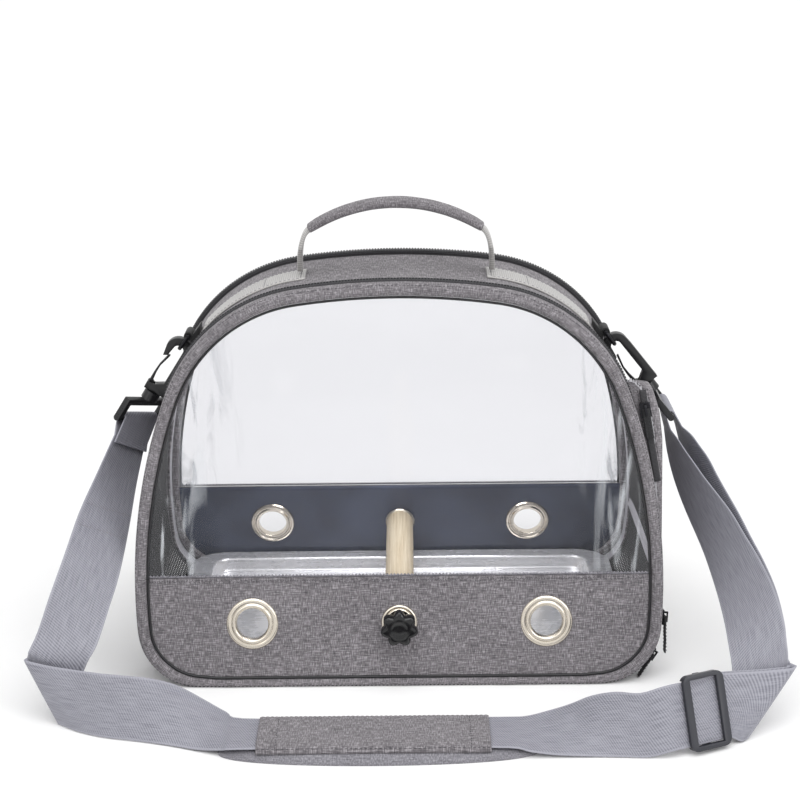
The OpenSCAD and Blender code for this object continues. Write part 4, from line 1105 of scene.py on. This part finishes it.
bm = cloth_grid(240, 56, tray_place, (960, 60), tube=True, caps=False)
inner = [e for e in bm.edges if e.is_boundary and all(v.co.z < 7 for v in e.verts)]
bmesh.ops.holes_fill(bm, edges=inner, sides=0)
bmesh.ops.recalc_face_normals(bm, faces=bm.faces)
turn_up(bm)
tray = make("steel_tray", bm, STEEL, "tray", "steel", ["tray"], 60)
thicken(tray, 0.8)
print("tray made")

# %% [markdown]
# The side pocket is a flat bag of oxford sewn to the right wall: a front, an
# outer side and a back in one strip. Its top falls away to the back, as a
# slanted pocket's does, and gives way under the hook. It bellies a little,
# since there is nothing in it.

# %% Side pocket
POCKET_N, POCKET_FALL, POCKET_CORNER = 14.0, math.tan(math.radians(17.5)), 6.0
POCKET_ROWS = [  # share of the pocket's depth, and height
    (0.15, 62.3), (0.45, 66.0), (0.8, 76.0), (0.97, 92.0), (1.0, 120.0), (1.0, 150.0), (1.0, 170.0),
    (0.99, 184.0), (0.96, 191.6), (0.88, 194.3), (0.5, 194.9), (0.02, 194.9)]
POCKET_SIDE = [  # height, and x of the outer side
    (62, 175.0), (90, 177.2), (155, 177.2), (172, 175.3), (187, 171.0), (195, 164.5)]


def wall_x(z):
    """x of the right wall's outer side at height z."""
    return outline(run_to(z), 1.6)[0]


def between(table, z):
    """The value at z in a table of (z, value)."""
    for (z0, a), (z1, b) in zip(table, table[1:]):
        if z <= z1:
            break
    return a + (b - a) * unit((z - z0) / (z1 - z0))


def pocket_place(u, v):
    reach, z = curve_at(POCKET_ROWS, v)
    half = -face_y(z, POCKET_N)
    t = 2 * u - 1  # front wall, outer side, back wall
    f = abs(t) / 0.55
    turn = unit((f - 0.84) / 0.16) * math.pi / 2
    y = (half - POCKET_CORNER) * min(1.0, f / 0.84) + POCKET_CORNER * math.sin(turn)
    y = math.copysign(half if f > 1 else y, t)
    z -= (y + 52) * POCKET_FALL * unit((z - 100) / 85)
    inner = wall_x(z) - 1.0
    outer = inner + (between(POCKET_SIDE, z) - inner) * reach
    corner = min(POCKET_CORNER, (outer - inner) * 0.5)
    if f > 1:
        x = inner + (outer - inner - corner) * (1 - abs(t)) / 0.45
    else:
        x = outer - corner * (1 - math.cos(turn))
        bulge = math.cos(math.pi * f / 2) * math.sin(math.pi * v)
        x += -0.8 * (1 - bulge) + 0.7 * ripple_at(t * 90, 0, z, 34, 3) * bulge
    return dented(Vector((x, y, z)), 1, eye=True)


bm = cloth_grid(120, 90, pocket_place, lambda u, v: (190 * u, curve_at(POCKET_ROWS, v)[1]))
bmesh.ops.remove_doubles(bm, verts=bm.verts, dist=1e-3)
turn_outwards(bm)
pocket = make("side_pocket_cloth", bm, OXFORD, "bag", "oxford", ["side_pocket"], 50)
thicken(pocket, 1.2, LINING)

# %% [markdown]
# The pocket closes with a short zipper that runs down its front wall at a
# slant: tape and coil as round the faces, with a slider near the top.

# %% Pocket zipper
ZIP_TURN, ZIP_X, ZIP_Z = math.radians(9.5), 164.0, 178.0
UP_FACE = Vector((0, math.sin(LEAN), math.cos(LEAN)))
ZIP_UP = math.cos(ZIP_TURN) * UP_FACE - Vector((math.sin(ZIP_TURN), 0, 0))
ZIP_ACROSS = math.sin(ZIP_TURN) * UP_FACE + Vector((math.cos(ZIP_TURN), 0, 0))
ZIP_OUT = Vector((0, -math.cos(LEAN), math.sin(LEAN)))
ZIP_AT = Vector((ZIP_X, face_y(ZIP_Z, 12.9), ZIP_Z))

bm = cloth_grid(40, 4, lambda u, v: ZIP_AT + ZIP_UP * (62 * u - 51) + ZIP_ACROSS * (4.4 * v - 2.2),
                (61, 5))
tape = make("pocket_zipper_tape", bm, ZIP_TAPE, "bag", "zipper", ["pocket_zipper"])
thicken(tape, 0.8)
bm = bmesh.new()
for k in range(34):
    tooth(bm, ZIP_AT + ZIP_UP * (10.2 - 1.8 * k) + ZIP_OUT * 0.3, ZIP_UP, ZIP_OUT, (1.1, 2.4, 0.8))
make("pocket_zipper_coil", bm, GREY_TEETH, "bag", "zipper", ["pocket_zipper"], 30)
lines = [[(ZIP_AT + ZIP_UP * (12 - 6.4 * k) + ZIP_ACROSS * side, ZIP_OUT) for k in range(11)]
         for side in (-3.4, 3.4)]
stitches("pocket_zipper_stitches", lines, THREAD_DARK, "bag", "oxford", 3.0, 2.1, 0.5, -0.9)

# %% [markdown]
# Hard parts keep the CAD's shape. A copy of the node is merged, its flat
# faces are joined up again and its sharp edges are rounded by a fraction of a
# millimetre, as a mould or a tumbler leaves them, so that they catch light.
# Nodes that stay as they are get their material here.

# %% Rounded copies of hard parts
def refined(node, material, body, slot, round_by):
    """A copy of a CAD node with its edges rounded by so many mm."""
    bm = bmesh.new()
    bm.from_mesh(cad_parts[node].data)
    bmesh.ops.scale(bm, vec=(1 / MM, 1 / MM, 1 / MM), verts=bm.verts)
    bmesh.ops.remove_doubles(bm, verts=bm.verts, dist=0.01)
    bmesh.ops.dissolve_limit(bm, angle_limit=math.radians(1.0), use_dissolve_boundaries=False,
                             verts=bm.verts, edges=bm.edges)
    bm.normal_update()
    sharp = [e for e in bm.edges
             if len(e.link_faces) == 2 and e.calc_face_angle() > math.radians(28)]
    bmesh.ops.bevel(bm, geom=sharp, offset=round_by, offset_type="OFFSET", segments=2, profile=0.5,
                    affect="EDGES", clamp_overlap=True, material=-1)
    make(node + "_rounded", bm, material, body, slot, [node], 35)


REFINED = [
    ("left_hook", ACETAL, "bag", "black_plastic", 0.7),
    ("right_hook", ACETAL, "bag", "black_plastic", 0.7),
    ("left_swivel_eye", ACETAL, "bag", "black_plastic", 0.7),
    ("right_swivel_eye", ACETAL, "bag", "black_plastic", 0.7),
    ("left_hook_gate", ACETAL, "left_gate", "black_plastic", 0.3),
    ("right_hook_gate", ACETAL, "right_gate", "black_plastic", 0.3),
    ("strap_adjuster", NYLON, "adjuster", "grey_plastic", 0.6),
    ("ring_tabs", ZIP_TAPE, "bag", "black_plastic", 0.4),
    ("d_rings", BLACK_STEEL, "bag", "steel", 0.2),
]
REFINED += [(name, BLACK_STEEL, name, "slider_metal", 0.2) for name in (
    "pocket_slider", "front_upper_slider", "front_lower_slider",
    "back_upper_slider", "back_lower_slider")]
for row in REFINED:
    refined(*row)
for node, material in (("perch_inserts", NICKEL), ("front_knob_stud", NICKEL),
                       ("back_knob_stud", NICKEL), ("base_board", PVC)):
    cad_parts[node].data.materials.clear()
    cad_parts[node].data.materials.append(material)
print("hard parts rounded")

# %% [markdown]
# Each zip pull is a strip of black cloth folded round the slider's pin and
# sewn to itself: a loop at the pin, two layers to the end, and a stitched box.

# %% Zip pulls
PIN_Y = -2.15


def on_zipper(heading, back):
    """Frame on a zipper: x along it, -y out of it, z across it."""
    a = math.radians(heading)
    cx, cz, r, _, _ = ARCS[0] if heading < ARCS[0][4] else ARCS[1]
    place = on_face(cx + r * math.sin(a), cz - r * math.cos(a))
    place = place @ Matrix.Translation((0, 0, -COIL_N)) @ Matrix.Rotation(a, 4, "Z")
    return MIRROR_Y @ place if back else place


def pull_tab(body, place, length):
    """A folded cloth pull that hangs along -x of place. Its node is named as its body."""
    def tab_place(u, v):
        along = 0.9 - (length + 0.3) * (1 - math.cos(math.pi * u)) / 2
        a = 2 * math.pi * v
        thick = 0.85
        if along <= -3.0:
            thick = 0.85 - 0.2 * min(1, (-3.0 - along) / 2) + 0.05 * math.sin(along * 2.4)
        blunt = min(1.0, 0.25 + 8 * min(u, 1 - u))
        wide = 2.55 if along > -4.5 else 2.7
        y = thick * blunt * boxy(math.sin(a), 0.6)
        z = wide * min(1, 0.9 + blunt * 0.1) * boxy(math.cos(a), 0.35)
        return place @ Vector((along, y + 0.1 * math.sin(along * 0.5), z))

    bm = cloth_grid(40, 20, tab_place, (length * 1.2, 13), tube=True)
    make(body + "_tab", bm, PULL, body, "pull_fabric", [body], 50)
    rows = [[(place @ Vector((-x, 0.72 * side, z)), (place.to_3x3() @ Vector((0, side, 0))))
             for x in (4.5, 8, 12, 16, length - 1.6)] for side in (-1, 1) for z in (-1.7, 1.7)]
    stitches(body + "_tab_stitches", rows, THREAD_DARK, body, "pull_fabric", 2.4, 1.7, 0.4, 0.05)


PULLS = (  # heading of the slider, gap to the pin, turn in degrees, length
    ("upper", 86.3, 0.9, 3.7, 25), ("lower", 56.0, 0.4, 0.0, 18))
for side, back in FACES:
    for place, heading, gap, turn, length in PULLS:
        at_pin = on_zipper(heading, back) @ Matrix.Translation((0, PIN_Y - gap, 0))
        at_pin = at_pin @ Matrix.Rotation(math.radians(turn), 4, "Z")
        pull_tab(f"{side}_{place}_pull", at_pin, length)
pocket_pin = (on_face(ZIP_X, ZIP_Z) @ Matrix.Translation((0, 0, -12.5))
              @ Matrix.Rotation(math.pi / 2 + ZIP_TURN, 4, "Z")
              @ Matrix.Rotation(-math.pi / 2, 4, "X") @ Matrix.Translation((0, PIN_Y - 0.3, 0)))
pull_tab("pocket_pull", pocket_pin, 20)
print("pulls made")

# %% [markdown]
# The handle is a loop of pale tape whose two legs stand on the top of the
# bag; a padded sleeve of oxford is wrapped round its middle. The tape runs on
# from each foot down the shoulder of the bag to a ring.

# %% Handle
GRIP_R, GRIP_Z, GRIP_SPAN, PIVOT_X, PIVOT_Z = 106.68, 199.02, 33.0, 65.0, 263.404


def grip_place(u, v):
    """The padded sleeve, thin at its ends, with a sunken seam underneath."""
    t = 2 * u - 1
    r = math.radians(GRIP_SPAN * t)
    x0, z0 = GRIP_R * math.sin(r), GRIP_Z + GRIP_R * math.cos(r)
    a = 2 * math.pi * v
    swell = 1.0 + 0.10 * math.sin(math.pi * u) - 0.14 * abs(t) ** 14
    swell += 0.03 * ripple_at(x0, a * 3, 0, 11)
    wide = 8.4 * (1 - 0.04 * abs(t) ** 10) + 0.25 * ripple_at(x0, 0, 5, 16)
    up = 3.15 * swell * boxy(math.sin(a), 0.8)
    side = wide * boxy(math.cos(a), 0.62)
    if math.sin(a) <= 0:
        up += 0.5 * math.exp(-((a - 4.712) / 0.16) ** 2)
    return Vector((x0 + up * math.sin(r), side, z0 + up * math.cos(r)))


bm = cloth_grid(110, 36, grip_place, (114, 42), tube=True)
grip = make("grip_sleeve", bm, OXFORD, "handle", "oxford", ["handle_grip"], 55)

LEG_PATH = [(PIVOT_X - x, PIVOT_Z + z) for x, z in (
    (0, -4.3), (0, 0), (0.2, 6), (0.9, 12), (2.2, 17.5), (4.2, 22), (7, 24.6), (11, 26.6))]


def leg_place(u, v, side):
    x, z = curve_at(LEG_PATH, u)
    x2, z2 = curve_at(LEG_PATH, min(1, u + 0.02))
    x1, z1 = curve_at(LEG_PATH, max(0, u - 0.02))
    along = Vector((x2 - x1, z2 - z1)).normalized()
    a = 2 * math.pi * v
    thick = 1.9 - 0.6 * u
    # The foot is narrow, so that the handle swings clear of the tape it stands on.
    wide = min(2.4 + 21 * u, 12.0 - 5.8 * max(0, (u - 0.45) / 0.55))
    off = thick * boxy(math.sin(a), 0.45)
    y = wide * boxy(math.cos(a), 0.3)
    return Vector((side * (x + off * along.y), y, z - off * along.x))


for name, side in (("left", -1), ("right", 1)):
    bm = cloth_grid(44, 32, lambda u, v, side=side: leg_place(u, v, side),
                    lambda u, v: (24 * abs(2 * v - 1), 38 * u), tube=True)
    make(name + "_handle_leg", bm, TAPE, "handle", "light_webbing", ["handle_webbing"], 50)

# %% [markdown]
# The tape that the handle stands on is sewn flat to the top. At each foot the
# stitching makes a box, and its far end lies near the black tab of the ring.

# %% Handle anchors
FOOT_RUN = HALF - 61.5
TAPE_END = run_to(223.5)


def anchor_place(u, v, left):
    s = side_sign(FOOT_RUN + (TAPE_END - FOOT_RUN) * u, left)
    y = 15.0 * (2 * v - 1)
    z = outline(s, 1.0)[1]
    x, z = outline(s, 0.9 + gusset_dip(y, z) * 0.8 + 0.12 * ripple_at(s, y, 0, 20))
    return Vector((x, y, z))


for name, left in SIDES:
    bm = cloth_grid(48, 12, lambda u, v, left=left: anchor_place(u, v, left),
                    lambda u, v: (30 * v - 15, 80 * u))
    turn_outwards(bm)
    tape = make(name + "_anchor_tape", bm, TAPE, "bag", "light_webbing", ["handle_anchors"])
    thicken(tape, 1.0)
    rows = []
    for points in ([(0.04, -0.85), (0.04, 0.85), (0.36, 0.85), (0.36, -0.85), (0.04, -0.85)],
                   [(0.38, -0.86), (0.98, -0.86)], [(0.38, 0.86), (0.98, 0.86)]):
        fine = [(p[0] + (q[0] - p[0]) * k / 16, p[1] + (q[1] - p[1]) * k / 16)
                for p, q in zip(points, points[1:]) for k in range(16)] + [points[-1]]
        rows.append([(anchor_place(u, 0.5 + v / 2, left), Vector((0, 0, 1))) for u, v in fine])
    stitches(name + "_anchor_stitches", rows, THREAD_GREY, "bag", "light_webbing", 3.0, 2.2, 0.5)
print("handle made")

# %% [markdown]
# The shoulder strap is one length of 40 mm webbing. Its route is a chain of
# stations, each the two edges of the webbing, taken from the CAD: round the
# left eye, down to a crease on the floor, under the pad, through the adjuster,
# up to the right eye and back. A smooth curve fills in between the stations.

# %% Strap route
HOOK_LENGTH, BAR_STEPS, FALL_STEPS = 57.7, 18, 8
STRAP_W, STRAP_T, LOOP_R, ON_FLOOR = 40.0, 1.3, 3.35, 0.75
LEFT_FALL = [
    [-193, -29, 153, -178, 3, 135], [-202, -52, 134, -181, -24, 115],
    [-211, -78, 115, -182, -58, 96], [-217, -106, 96, -184, -94, 77],
    [-223, -131, 78, -188, -117, 63], [-230, -140, 58, -192, -143, 50],
    [-235.2, -146, 47.4, -198, -149, 40], [-235.9, -145.7, 44.9, -206, -151.5, 21],
    [-236.8, -145.3, 42.3, -215.5, -154.6, 0.75]]
LEFT_FLOOR = [
    [-236.3, -148.8, 41.7, -215.3, -157.4, 0.75], [-222, -152.5, 40, -208, -163, 0.75],
    [-204, -157, 39, -200, -168, 0.75], [-186, -162.5, 39, -186, -174, 0.75],
    [-170, -165, 38.5, -170, -178, 0.75], [-155, -164, 36, -155, -182, 0.75],
    [-140, -158, 28, -140, -187, 1], [-125, -156.5, 18, -125, -193, 1.6],
    [-110, -159.5, 10, -110, -199, 4.4], [-99, -163, 7, -99, -203, 7],
    [-40, -163.3, 7, -40, -203.3, 7], [20, -163.6, 7, 20, -203.6, 7],
    [67, -164, 7, 67, -204, 7], [80, -165, 8, 80, -205, 4.6], [93, -166, 12, 95, -205, 2.4],
    [106, -171, 19, 110, -205, 1.4], [119, -179, 29, 125, -205, 0.8],
    [133, -187, 35.5, 138, -205.5, 0.75], [147, -193, 37.5, 152, -206.2, 0.75]]
RIGHT_FRONT = [
    [226, -169.5, 40, 211, -187.8, 1], [246.5, -162.5, 38.5, 213, -186.6, 0.75]]
RIGHT_INNER = [
    [244.3, -160.3, 38.5, 210.6, -184.3, 0.75], [226, -167.3, 40.2, 209.5, -185.4, 1]]
RIGHT_RETURN = [
    [187, -20.5, 149.5, 188.5, 18, 139.5], [191.5, -23, 144, 190, 12, 125],
    [196, -27, 137.5, 192.5, 3, 112], [201.5, -34, 130.5, 196, -9, 100],
    [207.5, -43.5, 123, 200, -23.5, 89.5], [214.5, -55.5, 115.5, 204, -40, 80.5],
    [221.5, -71, 108, 207, -58.5, 73], [227.5, -88.5, 99, 209, -78, 65.5],
    [234, -108, 89.5, 210, -98.5, 59], [239.5, -128, 78, 210, -121, 53],
    [243, -145.5, 63.5, 208.7, -145, 48], [243.8, -154.5, 52, 209, -163, 36],
    [244.3, -157.5, 44.5, 209.8, -174.5, 17.5]]
LAYER_GAP = [8, 10, 11, 11.5, 10, 8, 6, 5, 4, 3.2, 2.5, 2.2, 2.2]
LEFT_TAIL = [
    [-192.4, -34.4, 149.5, -176.2, -3.4, 131.5], [-191.2, -29.9, 152.2, -176.1, 2.1, 135.3]]
ADJUSTER_AT, RUN_TURN, RUN_LEAN = Vector((190, -196, 4.9)), math.radians(24), math.radians(71)
RUN = Vector((math.cos(RUN_TURN), math.sin(RUN_TURN), 0))
RISE = Vector((-math.sin(RUN_TURN) * math.cos(RUN_LEAN), math.cos(RUN_TURN) * math.cos(RUN_LEAN),
               math.sin(RUN_LEAN)))
OUT = RUN.cross(RISE)


def stations(rows):
    """The two edges of the webbing at each station."""
    return [(Vector(row[:3]), Vector(row[3:])) for row in rows]


def run_at(s, g=0.0):
    """A station on the straight run, s along it and g behind it."""
    low = ADJUSTER_AT + s * RUN - g * OUT
    return low + STRAP_W * RISE, low


def round_bar(side, tilt, twist, first, last):
    """The webbing round the bar of an eye, from a first to a last turn in degrees."""
    t, w = math.radians(tilt), math.radians(twist)
    along = Vector((math.cos(t), 0, -math.sin(t)))
    rise = Vector((math.sin(t), 0, math.cos(t)))
    centre = Vector((side * RING_TIP[0], 0, RING_TIP[1])) - (RING_LIFT + HOOK_LENGTH) * rise
    bar = -math.sin(w) * along + math.cos(w) * Vector((0, 1, 0))
    out, made = bar.cross(rise), []
    for i in range(BAR_STEPS + 1):
        a = math.radians(first + (last - first) * i / BAR_STEPS)
        middle = centre + LOOP_R * (math.cos(a) * out + math.sin(a) * rise)
        made.append((middle - bar * (STRAP_W / 2 - 0.2), middle + bar * (STRAP_W / 2 - 0.2)))
    return made


def smooth(rows, count=4):
    """Fills in between stations."""
    flat = [list(a) + list(b) for a, b in rows]
    spans = (len(flat) - 1) * count
    return stations(curve_at(flat, k / spans) for k in range(spans + 1))


def normals(rows):
    """The outward direction of the webbing at each station."""
    made = []
    for i, (a, b) in enumerate(rows):
        (a1, b1), (a0, b0) = rows[min(i + 1, len(rows) - 1)], rows[max(i - 1, 0)]
        made.append((b - a).cross((a1 + b1) / 2 - (a0 + b0) / 2).normalized())
    return made


def second_layer(rows, gaps):
    """The other layer of a doubled strap, in the reverse order."""
    made = []
    for (a, b), n, gap in list(zip(rows, normals(rows), gaps))[::-1]:
        a, b = a - gap * n, b - gap * n
        made.append((a, Vector((b.x, b.y, max(b.z, ON_FLOOR)))))
    return made


route = (
    stations(LEFT_TAIL)
    + round_bar(-1, LEFT_TILT, -31, 32, 227)
    + smooth(stations(LEFT_FALL))
    + stations([[-238.3, -147.4, 42, -217.3, -156, 0.75]])
    + smooth(stations(LEFT_FLOOR) + [run_at(-26), run_at(-12), run_at(2), run_at(15)]
             + stations(RIGHT_FRONT))
    + stations([[249.6, -159.2, 38.5, 216, -183.2, 0.75]])
    + smooth(stations([[246.5, -155.4, 38.5, 213.4, -179.6, 0.75]])
             + second_layer(stations(RIGHT_RETURN), LAYER_GAP))
    + round_bar(1, RIGHT_TILT, 0, -10, 190)
    + smooth(stations(RIGHT_RETURN + [[244.3, -158, 38.5, 210.6, -182, 0.75]]))
    + stations([[245.7, -159.2, 38.5, 211.9, -183.2, 0.75]])
    + smooth(stations(RIGHT_INNER) + [run_at(18, 5.8), run_at(12, 6.6)]))
print("strap stations", len(route))

# %% [markdown]
# Webbing is a flat tube in section: 40 mm wide and 1.3 mm thick, with rounded
# selvages. The same helper sweeps the long strap and its sewn end.

# %% Webbing sweep
def section(v):
    """Round the webbing's section: across (-1 to 1) and up (-1 to 1)."""
    a = 2 * math.pi * v
    return boxy(math.cos(a), 0.5), boxy(math.sin(a), 0.3)


def ribbon(name, rows, body, node, thickness):
    """Sweeps webbing through stations."""
    out = normals(rows)
    last = len(rows) - 1
    runs = [0.0]
    for (a, b), (c, d) in zip(rows, rows[1:]):
        runs.append(runs[-1] + ((c + d) / 2 - (a + b) / 2).length)

    def place(u, v):
        i = min(int(round(u * last)), last)
        (a, b), n = rows[i], out[i]
        across, lift = section(v)
        curl = 0.18 * ripple_at(runs[i], across * 12, 0, 34) * (1 - across * across)
        return (a + b) / 2 + (b - a) / 2 * across + n * (lift * thickness / 2 + curl)

    def cut(u, v):
        i = min(int(round(u * last)), last)
        return section(v)[0] * STRAP_W / 2, runs[i]

    bm = cloth_grid(last, 40, place, cut, tube=True)
    obj = make(name, bm, STRAP, body, "webbing", [node], 60)
    print(name, "length", round(runs[-1]))


ribbon("shoulder_strap_webbing", route, "bag", "shoulder_strap", STRAP_T)
END_ROWS = [run_at(*at) for at in (
    (16, 1.85), (10, 1.85), (4, 1.85), (0.5, 1.85), (-1.8, 1.95), (-2.9, 2.4), (-3.3, 3.3),
    (-3.4, 4.2), (-3.3, 5.1), (-2.9, 6.0), (-1.8, 6.5), (3, 6.6), (7, 5.6), (11, 4.1), (16, 3.85))]
ribbon("strap_sewn_end", smooth(END_ROWS, 2), "adjuster", "strap_end", 1.2)


def across_strap(i, side):
    """A line across the webbing at a station, on one side of it, 2 mm short of its edges."""
    (a, b), n = route[i], normals(route)[i]
    return [(a + (b - a) * (0.05 + 0.9 * k / 24) + n * side * STRAP_T / 2, n * side)
            for k in range(25)]


seam_at = len(LEFT_TAIL) + BAR_STEPS + FALL_STEPS
lines = [across_strap(seam_at + k, side) for k in (0, 2) for side in (-1, 1)]
stitches("strap_seam_stitches", lines, THREAD_GREY, "bag", "webbing", 2.6, 1.9, 0.6, 0.1)
print("strap made")

# %% [markdown]
# Under the strap lies a shoulder pad: a long, soft cushion of pale knit that
# tapers at its ends, and a sleeve of oxford over the strap, sewn to the pad
# along both sides. The pad is a crowned closed form, flat where it rests on
# the floor, with a sewn groove along the sleeve's seams.

# %% Shoulder pad
PAD_X0, PAD_X1, PAD_UNDER = -113.0, 87.0, 0.12
SLEEVE_X0, SLEEVE_X1, PAD_MID = -88.0, 56.0, -183.5
SLEEVE_SEAMS = (SLEEVE_X0 + 12, SLEEVE_X1 - 12)


def pad_place(p, q):
    """Round the pad's section at u along it; the lower half lies on the floor."""
    u = -math.cos(math.pi * min(max(p, 0.004), 0.996))
    a = 2 * math.pi * q
    front, rear = -193 - 20 * max(0.0, 1 - u * u) ** 0.36, -160.5 - 6 * abs(u) ** 8
    mid, half = (front + rear) / 2, (rear - front) / 2
    across = boxy(math.cos(a), 0.7)
    y = mid + half * across * 0.985
    x = (PAD_X0 + PAD_X1) / 2 + (PAD_X1 - PAD_X0) / 2 * u * 0.992
    full = (1 - abs(u) ** 10) * (1 - abs(across) ** 6)
    top = 1.6 + 4.3 * full
    seam = 0.8 * math.exp(-((y + 206.6) / 1.3) ** 2) * full
    wrinkle = 0.35 * ripple_at(x, y * 0.6, 0, 13, 2) * full
    if -206 < y < -161:
        wrinkle *= 0.2
    z = PAD_UNDER
    if math.sin(a) >= 0:
        z = top - seam + wrinkle * 0.8
        if math.sin(a) < 0.25:
            z = PAD_UNDER + (z - PAD_UNDER) * (0.5 + 0.5 * math.sin(a) / 0.25)
    return Vector((x, y, min(z, 6.0)))


bm = cloth_grid(150, 64, pad_place, lambda u, v: (200 * u, 130 * v), tube=True)
pad = make("pad_cushion", bm, BACKING, "pad", "pad_fabric", ["pad_backing"], 70)


def sleeve_place(u, v):
    """The sleeve's cloth, from its front seam over the strap to its back seam."""
    x = SLEEVE_X0 + (SLEEVE_X1 - SLEEVE_X0) * u
    t = 2 * v - 1
    y = PAD_MID + 22.6 * math.copysign(abs(t) ** 0.9, t) * (1 + 0.01 * ripple_at(x, 0, 3, 20))
    rise = (1 - abs(t) ** 9) ** 0.6
    puff = 0.35 * (ripple_at(x, y, 0, 24, 6) * 0.6 + 0.4) * (1 - abs(t) ** 4)
    pinch = 0.3 * sum(math.exp(-((x - seam) / 1.2) ** 2) for seam in SLEEVE_SEAMS)
    lift = 0.25 * ripple_at(x, t * 3, 0, 17, 9) * abs(t) ** 3 * (1 - abs(t) ** 12)
    return Vector((x, y, 5.0 + 4.1 * rise + puff * rise - pinch * rise + lift))


bm = cloth_grid(130, 40, sleeve_place, (144, 50))
turn_up(bm)
sleeve = make("pad_sleeve_cloth", bm, OXFORD, "pad", "oxford", ["shoulder_pad"], 70)
thicken(sleeve, 0.9)
upward = Vector((0, 0, 1))
lines = [[(sleeve_place(u, 0.02 + 0.96 * k / 40), upward) for k in range(41)]
         for u in (12 / 144, 132 / 144)]
lines += [[(sleeve_place(k / 120, v), upward) for k in range(121)] for v in (0.035, 0.965)]
stitches("pad_stitches", lines, THREAD_DARK, "pad", "oxford", 3.0, 2.2, 0.5, 0.1)
print("pad made")

# %% [markdown]
# Visible sewing on the bag: a row along the rims where the cloth is turned
# under, a zigzag along the top of the lower panels, and the pinked edge of
# the cloth that the window's film is sewn to.

# %% Seams on the bag
for side, back in FACES:
    out = Vector((0, (1 if back else -1) * math.cos(LEAN), math.sin(LEAN)))
    for part, (first, last), body in (("lower", LOWER, "bag"), ("window", UPPER, side + "_flap")):
        count = int((last - first) / 3)
        line = [(on_arch(first + (last - first) * k / count, 1.0, -1.9, back), out)
                for k in range(1, count)]
        stitches(f"{side}_{part}_rim_stitches", [line], THREAD_DARK, body, "oxford",
                 2.6, 1.7, 0.5, 0.0)
    wide = half_width(SEAM_Z, 9.6)
    zigzag = []
    for k in range(int(2 * wide / 1.6)):
        x = -wide + 1.6 * k
        z = 71.2 - (1.9 if k % 2 else 0.2)
        zigzag.append((faced(x, face_y(z, -0.75), z, back), out))
    stitches(side + "_seam_zigzag", [zigzag], THREAD_DARK, "bag", "oxford", 2.4, 2.0, 0.45, 0.0)

for side, back in FACES:
    wide = half_width(73.0, 9.4)
    count = int(2 * wide / 1.15)

    def pinked(u, v, back=back, wide=wide, count=count):
        z = 72.5 + v * (1.9 if round(u * count) % 2 else 0.7)
        return faced((2 * u - 1) * wide, face_y(z, -0.15), z, back)

    bm = cloth_grid(count, 1, pinked, (2 * wide, 2))
    turn_outwards(bm)
    edge = make(side + "_pinked_edge", bm, BACKING, side + "_flap", "oxford", [])
    thicken(edge, 0.3)
print("seams made")

# %% [markdown]
# A pale floor runs far behind the bag, so that it fills the view. Broad soft
# lamps and an even white surround light the bag as in a product studio. Rays
# that go straight to the camera, or that metal or film sends on, see white. A
# small hidden lamp inside the bag lights the tray and the perch.

# %% Floor, surround and lamps
bm = bmesh.new()
bmesh.ops.create_grid(bm, x_segments=1, y_segments=1, size=12.0)
floor_mesh = bpy.data.meshes.new("studio_floor")
bm.to_mesh(floor_mesh)
bm.free()
floor = bpy.data.objects.new("studio_floor", floor_mesh)
bpy.context.scene.collection.objects.link(floor)
FLOOR, tree, shader = finish("matt_white_floor", "#f7f7f7", 0.9)
shader.inputs["Specular IOR Level"].default_value = 0.1
floor_mesh.materials.append(FLOOR)

world = bpy.data.worlds.new("white_surround")
bpy.context.scene.world = world
world.use_nodes = True
tree = world.node_tree
path = add(tree, "LightPath")
seen = maths(tree, "MAXIMUM", path.outputs["Is Camera Ray"], path.outputs["Is Glossy Ray"])
seen = maths(tree, "MAXIMUM", seen, path.outputs["Is Transmission Ray"])
ground = tree.nodes["Background"]
ground.inputs["Color"].default_value = (1, 1, 1, 1)
tree.links.new(mapped(tree, seen, 0.0, 1.0, 0.62, 1.0), ground.inputs["Strength"])


def lamp(name, kind, energy, place=(0, 0, 0), towards=None, **settings):
    """A lamp at a place that shines towards a direction, or else straight down."""
    data = bpy.data.lights.new(name, kind)
    data.energy = energy
    for key, value in settings.items():
        setattr(data, key, value)
    made = bpy.data.objects.new(name, data)
    made.location = place
    if towards:
        made.rotation_euler = Vector(towards).to_track_quat("-Z", "Y").to_euler()
    bpy.context.scene.collection.objects.link(made)
    return made


lamp("overhead_bank", "SUN", 1.55, towards=(-0.1, 0.30, -1.0), angle=math.radians(60))
inside = lamp("inside_fill", "AREA", 0.26, (0, 0.01, 0.236), shape="RECTANGLE", size=0.17,
              size_y=0.06)
inside.visible_camera = False
lamp("front_left_box", "AREA", 4, (-1.1, -1.5, 1.3), (1.1, 1.5, -1.2), shape="SQUARE", size=1.0)
lamp("front_right_box", "AREA", 6.5, (1.3, -1.2, 0.9), (-1.3, 1.2, -0.8), shape="SQUARE", size=0.8)
